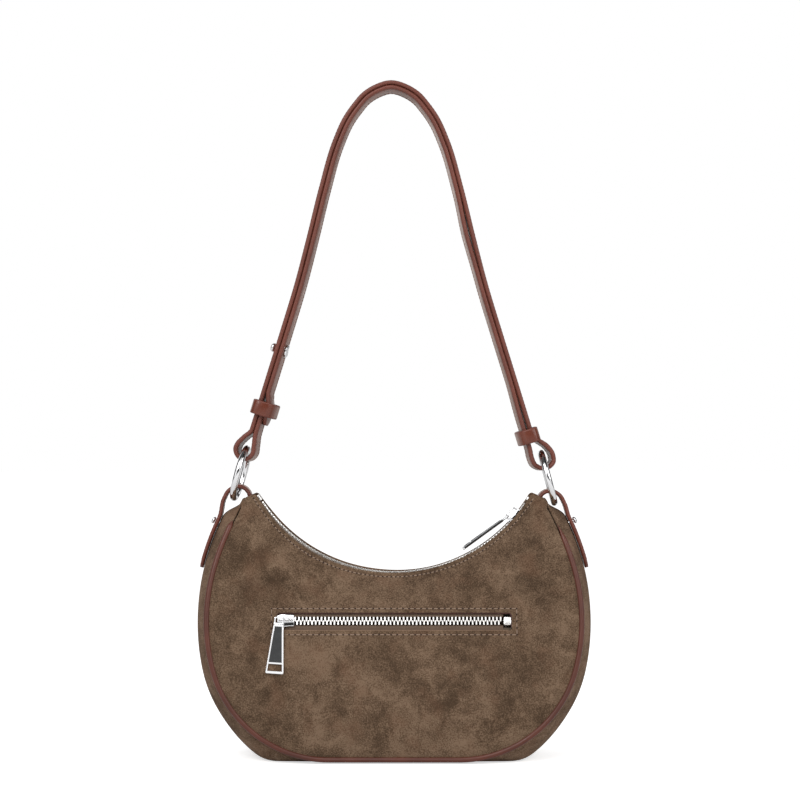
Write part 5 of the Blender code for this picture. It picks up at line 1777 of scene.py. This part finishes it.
@dataclass
class Strap:
    """The strap: one strip that runs twice over the arch and round both rings."""

    ring: RingForm
    finishes: Finishes
    thickness: float = 0.0028
    width: float = 0.018
    top: float = 0.4648
    lean: float = 0.002
    inside_ring: float = 0.0066
    leg_end: float = 0.023
    arch_shares: Pairs = (
        (0.0, 0.0), (0.121, 0.014), (0.191, 0.032), (0.262, 0.064), (0.318, 0.096), (0.395, 0.163),
        (0.492, 0.295), (0.573, 0.426), (0.659, 0.558), (0.760, 0.691), (0.863, 0.823), (1.0, 1.0),
    )
    inner_share: float = 1.5
    layer_gap: float = 0.0013
    pressed: float = 0.0004
    gap: float = 0.0003
    left_loop: Pairs = (
        (0.0114, 0.0290), (0.0104, 0.0215), (0.0094, 0.0163), (0.0069, 0.0136), (0.0038, 0.0129),
        (0.0006, 0.0140), (-0.0015, 0.0168), (-0.0021, 0.0202), (-0.0008, 0.0234), (0.0032, 0.0276),
    )
    right_loop: Pairs = (
        (-0.0072, 0.0257), (-0.0018, 0.0220), (0.0022, 0.0164), (0.0026, 0.0107), (-0.0010, 0.0072),
        (-0.0058, 0.0068), (-0.0097, 0.0088), (-0.0121, 0.0137), (-0.0133, 0.0192),
    )
    open_rise: float = 0.029
    neck_rise: float = 0.034
    turned_shares: tuple[float, ...] = (1.42, 1.20, 1.0)
    tip_rise: float = 0.0385
    tip_length: float = 0.009
    slack_rise: float = 0.170
    slack_run: float = 0.018
    open_rises: Pair = (0.070, 0.040)
    third_rises: Pair = (0.0600, 0.0500)
    stud_rise: float = 0.0893
    stud_ball: float = 0.0032
    stud_flatness: float = 0.65
    disc: float = 0.0046
    disc_thickness: float = 0.0014
    disc_shares: Pairs = (
        (-1.0, 0.87), (-0.8, 0.98), (-0.5, 1.0), (-0.15, 0.98), (0.0, 0.91),
    )
    stud_sides: int = 36
    stitch_pitch: float = 0.0026
    stitch_inset: float = 0.0019
    thread: float = 0.0005
    sewn_points: tuple[int, int] = (4, -26)
    end_least_share: float = 0.03
    path_steps: tuple[int, int, int] = (12, 10, 24)
    same_point: float = 1e-5
    lean_turns: Triple = (math.radians(8.0), math.radians(5.0), math.radians(6.0))
    lean_x: float = 0.085
    leg_slope: float = math.radians(17.0)
    arch_run: float = 0.03
    keepers: tuple[tuple[str, float, float, int], ...] = (
        ("left", -1.0, 0.0487, 3), ("right", 1.0, 0.0296, 2),
    )
    keeper_height: float = 0.010
    keeper_wall: float = 0.0019
    keeper_bulge: float = 0.0022
    keeper_power: float = 3.0
    keeper_room: float = 0.0004
    keeper_grid: tuple[int, int] = (96, 6)

    def outline(self) -> tuple[Array, Array]:
        """Outer face from the left neck over the top to the right neck, with its outward normals."""
        spread = self.ring.centre_x - self.inside_ring
        drop = self.top - self.ring.centre_z - self.leg_end
        half = np.array([(x * spread, -z * drop) for x, z in self.arch_shares])
        both = np.vstack([half[:0:-1] * [-1, 1], half])
        points = spline(xyz(both[:, 0] - self.lean, 0, both[:, 1] + self.top), self.path_steps[0])
        along = unit(np.gradient(points, axis=0))
        return points, xyz(-along[:, 2], 0, along[:, 0])

    def leg(self, side: float, rise: float) -> tuple[Array, Array]:
        """Point of the outer face on a leg at a rise above the rings, and its outward normal."""
        points, normals = self.outline()
        keep = points[:, 0] * side > 0
        order = np.argsort(points[keep][:, 2])
        level = self.ring.centre_z + rise
        heights = points[keep][order][:, 2]
        pick = [np.array([np.interp(level, heights, table[keep][order][:, k]) for k in range(3)])
                for table in (points, normals)]
        return pick[0], unit(pick[1])

    def inner_depth(self, points: Array) -> Array:
        """How far the inner layer's middle lies inside the outer face: it makes room for the turned end."""
        rise = points[:, 2] - self.ring.centre_z
        left = points[:, 0] < 0
        third = smooth((self.third_rises[0] - rise) / (self.third_rises[0] - self.third_rises[1]))
        slack = np.exp(-((rise - self.slack_rise) / self.slack_run) ** 2) * ~left
        open_share = np.maximum(slack, self.near_ring(rise) * ~left)
        gap = self.pressed + (self.layer_gap - self.pressed) * open_share
        return self.thickness * self.inner_share + gap + left * (self.thickness + self.pressed) * third

    def near_ring(self, rise: Array) -> Array:
        """Share of the layers' full gap beside the right keeper, where the strap opens round its ring."""
        high, low = self.open_rises
        return smooth((high - rise) / (high - low))

    def lean_legs(self, points: Array) -> Array:
        """Turn the strap a little about its own line, so that its under face shows from the front.

        Args:
            points: Points of a piece on the strap.

        Returns:
            The points, with the front moved outwards and the back inwards on both legs.
        """
        x = points[..., 0]
        turn = np.interp(x, (-self.lean_x, 0.0, self.lean_x), self.lean_turns)
        side = np.tanh(x / self.arch_run) * math.cos(self.leg_slope)
        shift = -points[..., 1] * np.tan(turn)
        return points + xyz(shift * side, 0, shift * np.sqrt(1 - side ** 2))

    def loop_points(self, side: float, offsets: Pairs) -> Array:
        """Points of a loop's middle line by their offsets from the ring's centre."""
        x, z = np.array(offsets).T
        return xyz(side * self.ring.centre_x + x, 0, self.ring.centre_z + z)

    def path(self) -> Array:
        """Middle line from the turned-back end to the pointed end."""
        points, normals = self.outline()
        rise = points[:, 2] - self.ring.centre_z
        right = points[:, 0] > 0
        start = np.where(right, self.open_rise, self.neck_rise)
        outer = (points - normals * self.thickness / 2)[rise > start]
        inner = points - normals * self.inner_depth(points)[:, None]
        inner = inner[right | (rise > self.tip_rise + self.tip_length)]
        turned = []
        for share in self.turned_shares:
            point, normal = self.leg(-1.0, self.neck_rise * share)
            turned.append(point - normal * (self.thickness * self.inner_share + self.pressed))
        neck, normal = self.leg(-1.0, self.neck_rise)
        neck = neck - normal * self.thickness / 2
        steps = self.path_steps[1]
        left = spline(np.vstack([turned, self.loop_points(-1.0, self.left_loop), neck, outer[:1]]), steps)
        right_run = np.vstack([outer[-1:], self.loop_points(1.0, self.right_loop), inner[-1:]])
        tip = []
        for share in np.linspace(0, 1, self.path_steps[2]):
            point, normal = self.leg(-1.0, self.tip_rise + self.tip_length * (1 - share))
            tip.append(point - normal * self.inner_depth(point[None])[0])
        return np.vstack([left, outer[1:-1], spline(right_run, steps), inner[-2::-1], tip])

    def add_leaning(self, name: str, solid: Solid, finishes: list[Material], body: str,
                    replaces: tuple[str, ...] = (), sharp: float = SHARP_ANGLE) -> None:
        """Lean a piece with the strap and add it, with the same arguments as add_piece."""
        solid.points = self.lean_legs(solid.points)
        add_piece(name, solid, finishes, body, replaces, sharp)

    def build_strip(self) -> None:
        """Make the strip with painted edges, its border stitches and its pointed end."""
        path = self.path()
        steps = np.linalg.norm(np.diff(path, axis=0), axis=1)
        path = path[np.concatenate([[True], steps > self.same_point])]
        half = self.width / 2
        widths = round_end(path, half, self.thickness / 4, half, self.end_least_share)
        strip = Strip(path, widths, self.thickness)
        self.add_leaning("leather_strap", strip.solid(), [self.finishes.leather, self.finishes.edge],
                         "strap", ("strap",))
        rows = strip.stitches(slice(*self.sewn_points), self.stitch_inset, self.stitch_pitch, self.thread)
        self.add_leaning("strap_stitches", rows, [self.finishes.strap_thread], "strap",
                         sharp=STITCH_SHARP_ANGLE)

    def build_stud(self) -> None:
        """Make the ball stud that closes the strap, with its disc inside."""
        face, axis = self.leg(-1.0, self.stud_rise)
        disc = -(2 * self.thickness + self.pressed) - self.gap
        foot = [(disc + self.disc_thickness * rise, self.disc * share) for rise, share in self.disc_shares]
        foot += [(disc, STUD_POST), (self.gap, STUD_POST)]
        ball = ball_profile(2 * self.gap, self.stud_ball, self.stud_flatness)
        stud = Solid.lathe(face, axis, np.vstack([foot, ball]), self.stud_sides)
        self.add_leaning("strap_ball_stud", stud, [self.finishes.metal], "strap",
                         ("strap_stud",))

    def build_keepers(self) -> None:
        """Make the oval bands round the layers: a superellipse carried over a rounded wall."""
        power = self.keeper_power
        sides, steps = self.keeper_grid
        across = np.array([0.0, 1.0, 0.0])
        unit_x, unit_y = superellipse(full_turn(sides)[:, None, None], 2 / power)
        side_at, offset, height, marks = rounded_section(self.keeper_wall, steps)
        reach = side_at * (self.keeper_height - self.keeper_wall) / 2 + offset
        level = (height + self.keeper_wall / 2)[None, :, None]
        for name, side, rise, layers in self.keepers:
            face, outward = self.leg(side, rise)
            along = np.cross(across, outward)
            gaps = 2 * self.pressed if layers == 3 else self.layer_gap
            half = (layers * self.thickness + gaps) / 2
            thick = half + self.keeper_bulge
            fill = 1 - ((half + self.keeper_room) / thick) ** power
            wide = (self.width / 2 + self.keeper_room) / fill ** (1 / power)
            rings = (face - outward * half) + across * (wide + level) * unit_y
            rings = rings + outward * (thick + level) * unit_x + along * reach[None, :, None]
            self.add_leaning(f"leather_keeper_{name}", Solid.sweep(rings, True, marks),
                             [self.finishes.leather, self.finishes.edge], f"keeper_{name}",
                             (f"keeper_{name}",))

    def build(self) -> None:
        """Make the strip, the stud and the keepers."""
        self.build_strip()
        self.build_stud()
        self.build_keepers()


# Studio


@dataclass
class Studio:
    """White floor, soft lamps and the camera at the photograph's angle."""

    camera_place: Triple = (0.004, -1.535, 0.2457)
    lens: float = 100.0
    sensor: float = 36.0
    clip: float = 0.01
    floor_half: float = 6.0
    floor_level: float = 0.80
    floor_glow: float = 0.60
    sky_tilt: float = math.radians(-10.0)
    sky_level: float = 0.62
    depth_stops: Pairs = (
        (0.050, 0.03), (0.072, 1.1), (0.34, 1.1), (0.41, 0.06), (0.74, 0.08), (0.84, 1.0),
    )
    side_stops: Pairs = ((0.63, 1.0), (0.67, 0.05), (0.80, 0.05), (0.84, 1.0))
    lamp_target: Triple = (0.0, 0.0, 0.15)
    lamps: tuple[tuple[str, Triple, float, float], ...] = (
        ("key", (-0.7, -1.3, 1.3), 1.0, 16.0), ("fill", (1.1, -0.9, 0.9), 1.0, 8.0),
    )

    def build_camera(self) -> None:
        """Set a level camera that looks along +Y."""
        data = bpy.data.cameras.new("view")
        data.lens = self.lens
        data.sensor_width = self.sensor
        data.clip_start = self.clip
        camera = place_object("view", data)
        camera.location = self.camera_place
        camera.rotation_euler = (math.pi / 2, 0, 0)
        bpy.context.scene.camera = camera

    def build_floor(self) -> None:
        """Lay a white floor that keeps the bag's shadow."""
        mesh = bpy.data.meshes.new("floor")
        half = self.floor_half
        corners = [(-half, -half, 0), (half, -half, 0), (half, half, 0), (-half, half, 0)]
        mesh.from_pydata(corners, [], [(0, 1, 2, 3)])
        floor = place_object("floor", mesh)
        material = bpy.data.materials.new("floor_white")
        material.use_nodes = True
        material.node_tree.nodes.clear()
        paint = Nodes(material.node_tree)
        diffuse = paint.add("ShaderNodeBsdfDiffuse", Color=(*[self.floor_level] * 3, 1.0))
        seen = paint.add("ShaderNodeLightPath").outputs["Is Camera Ray"]
        strength = paint.math("MULTIPLY", seen, self.floor_glow)
        glow = paint.add("ShaderNodeEmission", Color=(1.0, 1.0, 1.0, 1.0), Strength=strength)
        total = paint.add("ShaderNodeAddShader")
        for socket, shader in zip(total.inputs, (diffuse, glow)):
            paint.feed(socket, shader.outputs[0])
        paint.add("ShaderNodeOutputMaterial", Surface=total.outputs[0])
        mesh.materials.append(material)

    def build_world(self) -> None:
        """Light from all round, white to the camera, with dark bands for metal to show."""
        world = bpy.data.worlds.new("studio")
        bpy.context.scene.world = world
        world.use_nodes = True
        world.node_tree.nodes.clear()
        sky = Nodes(world.node_tree)
        around = sky.add("ShaderNodeTexCoord").outputs["Generated"]
        tilted = sky.add("ShaderNodeVectorRotate", {"rotation_type": "X_AXIS"}, Vector=around,
                         Angle=self.sky_tilt)
        split = sky.add("ShaderNodeSeparateXYZ", Vector=tilted.outputs[0])
        bands = []
        for axis, stops in (("Y", self.depth_stops), ("X", self.side_stops)):
            bands.append(sky.ramp(sky.math("MULTIPLY_ADD", split.outputs[axis], 0.5, 0.5), stops))
        rays = sky.add("ShaderNodeLightPath").outputs
        level = (*[self.sky_level] * 3, 1.0)
        mirrored = sky.blend(rays["Is Glossy Ray"], level, sky.blend(1.0, *bands, "MULTIPLY"))
        colour = sky.blend(rays["Is Camera Ray"], mirrored, (1.0, 1.0, 1.0, 1.0))
        back = sky.add("ShaderNodeBackground", Color=colour)
        sky.add("ShaderNodeOutputWorld", Surface=back.outputs[0])

    def add_lamp(self, name: str, place: Triple, size: float, power: float) -> None:
        """Hang a square soft lamp that faces the bag."""
        data = bpy.data.lights.new(name, "AREA")
        data.shape = "SQUARE"
        data.size = size
        data.energy = power
        lamp = place_object(name, data)
        lamp.location = place
        target = np.array(self.lamp_target) - np.array(place)
        yaw = math.atan2(target[0], -target[1])
        pitch = math.atan2(math.hypot(target[0], target[1]), -target[2])
        lamp.rotation_euler = (pitch, 0, yaw + math.pi)

    def build(self) -> None:
        """Make the camera, the floor, the world and the lamps."""
        self.build_camera()
        self.build_floor()
        self.build_world()
        for lamp in self.lamps:
            self.add_lamp(*lamp)
        bpy.context.scene.view_settings.view_transform = "Standard"


def main() -> None:
    """Build the bag's pieces in order over the frame."""
    logging.basicConfig(level=logging.INFO, format="%(message)s")
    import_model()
    finishes = Finishes()
    form = BodyForm()
    Shell(form, finishes).build()
    zip_form = ZipForm()
    half = form.tip_angle * (form.lip_radius + TopZip.drop) - TopZip.tip_room
    TopZip("top", zip_form, form, finishes, -half, half, (("front", -1.0), ("back", 1.0))).build()
    PocketZip("pocket", zip_form, form, finishes, PocketZip.first_x, PocketZip.last_x,
              (("lower", -1.0), ("upper", 1.0))).build()
    ring = RingForm(form)
    Carriers(form, ring, finishes).build()
    Strap(ring, finishes).build()
    board = bpy.data.objects["base_board"]
    board.data.materials.clear()
    board.data.materials.append(finishes.board)
    Studio().build()


if __name__ == "__main__":
    main()
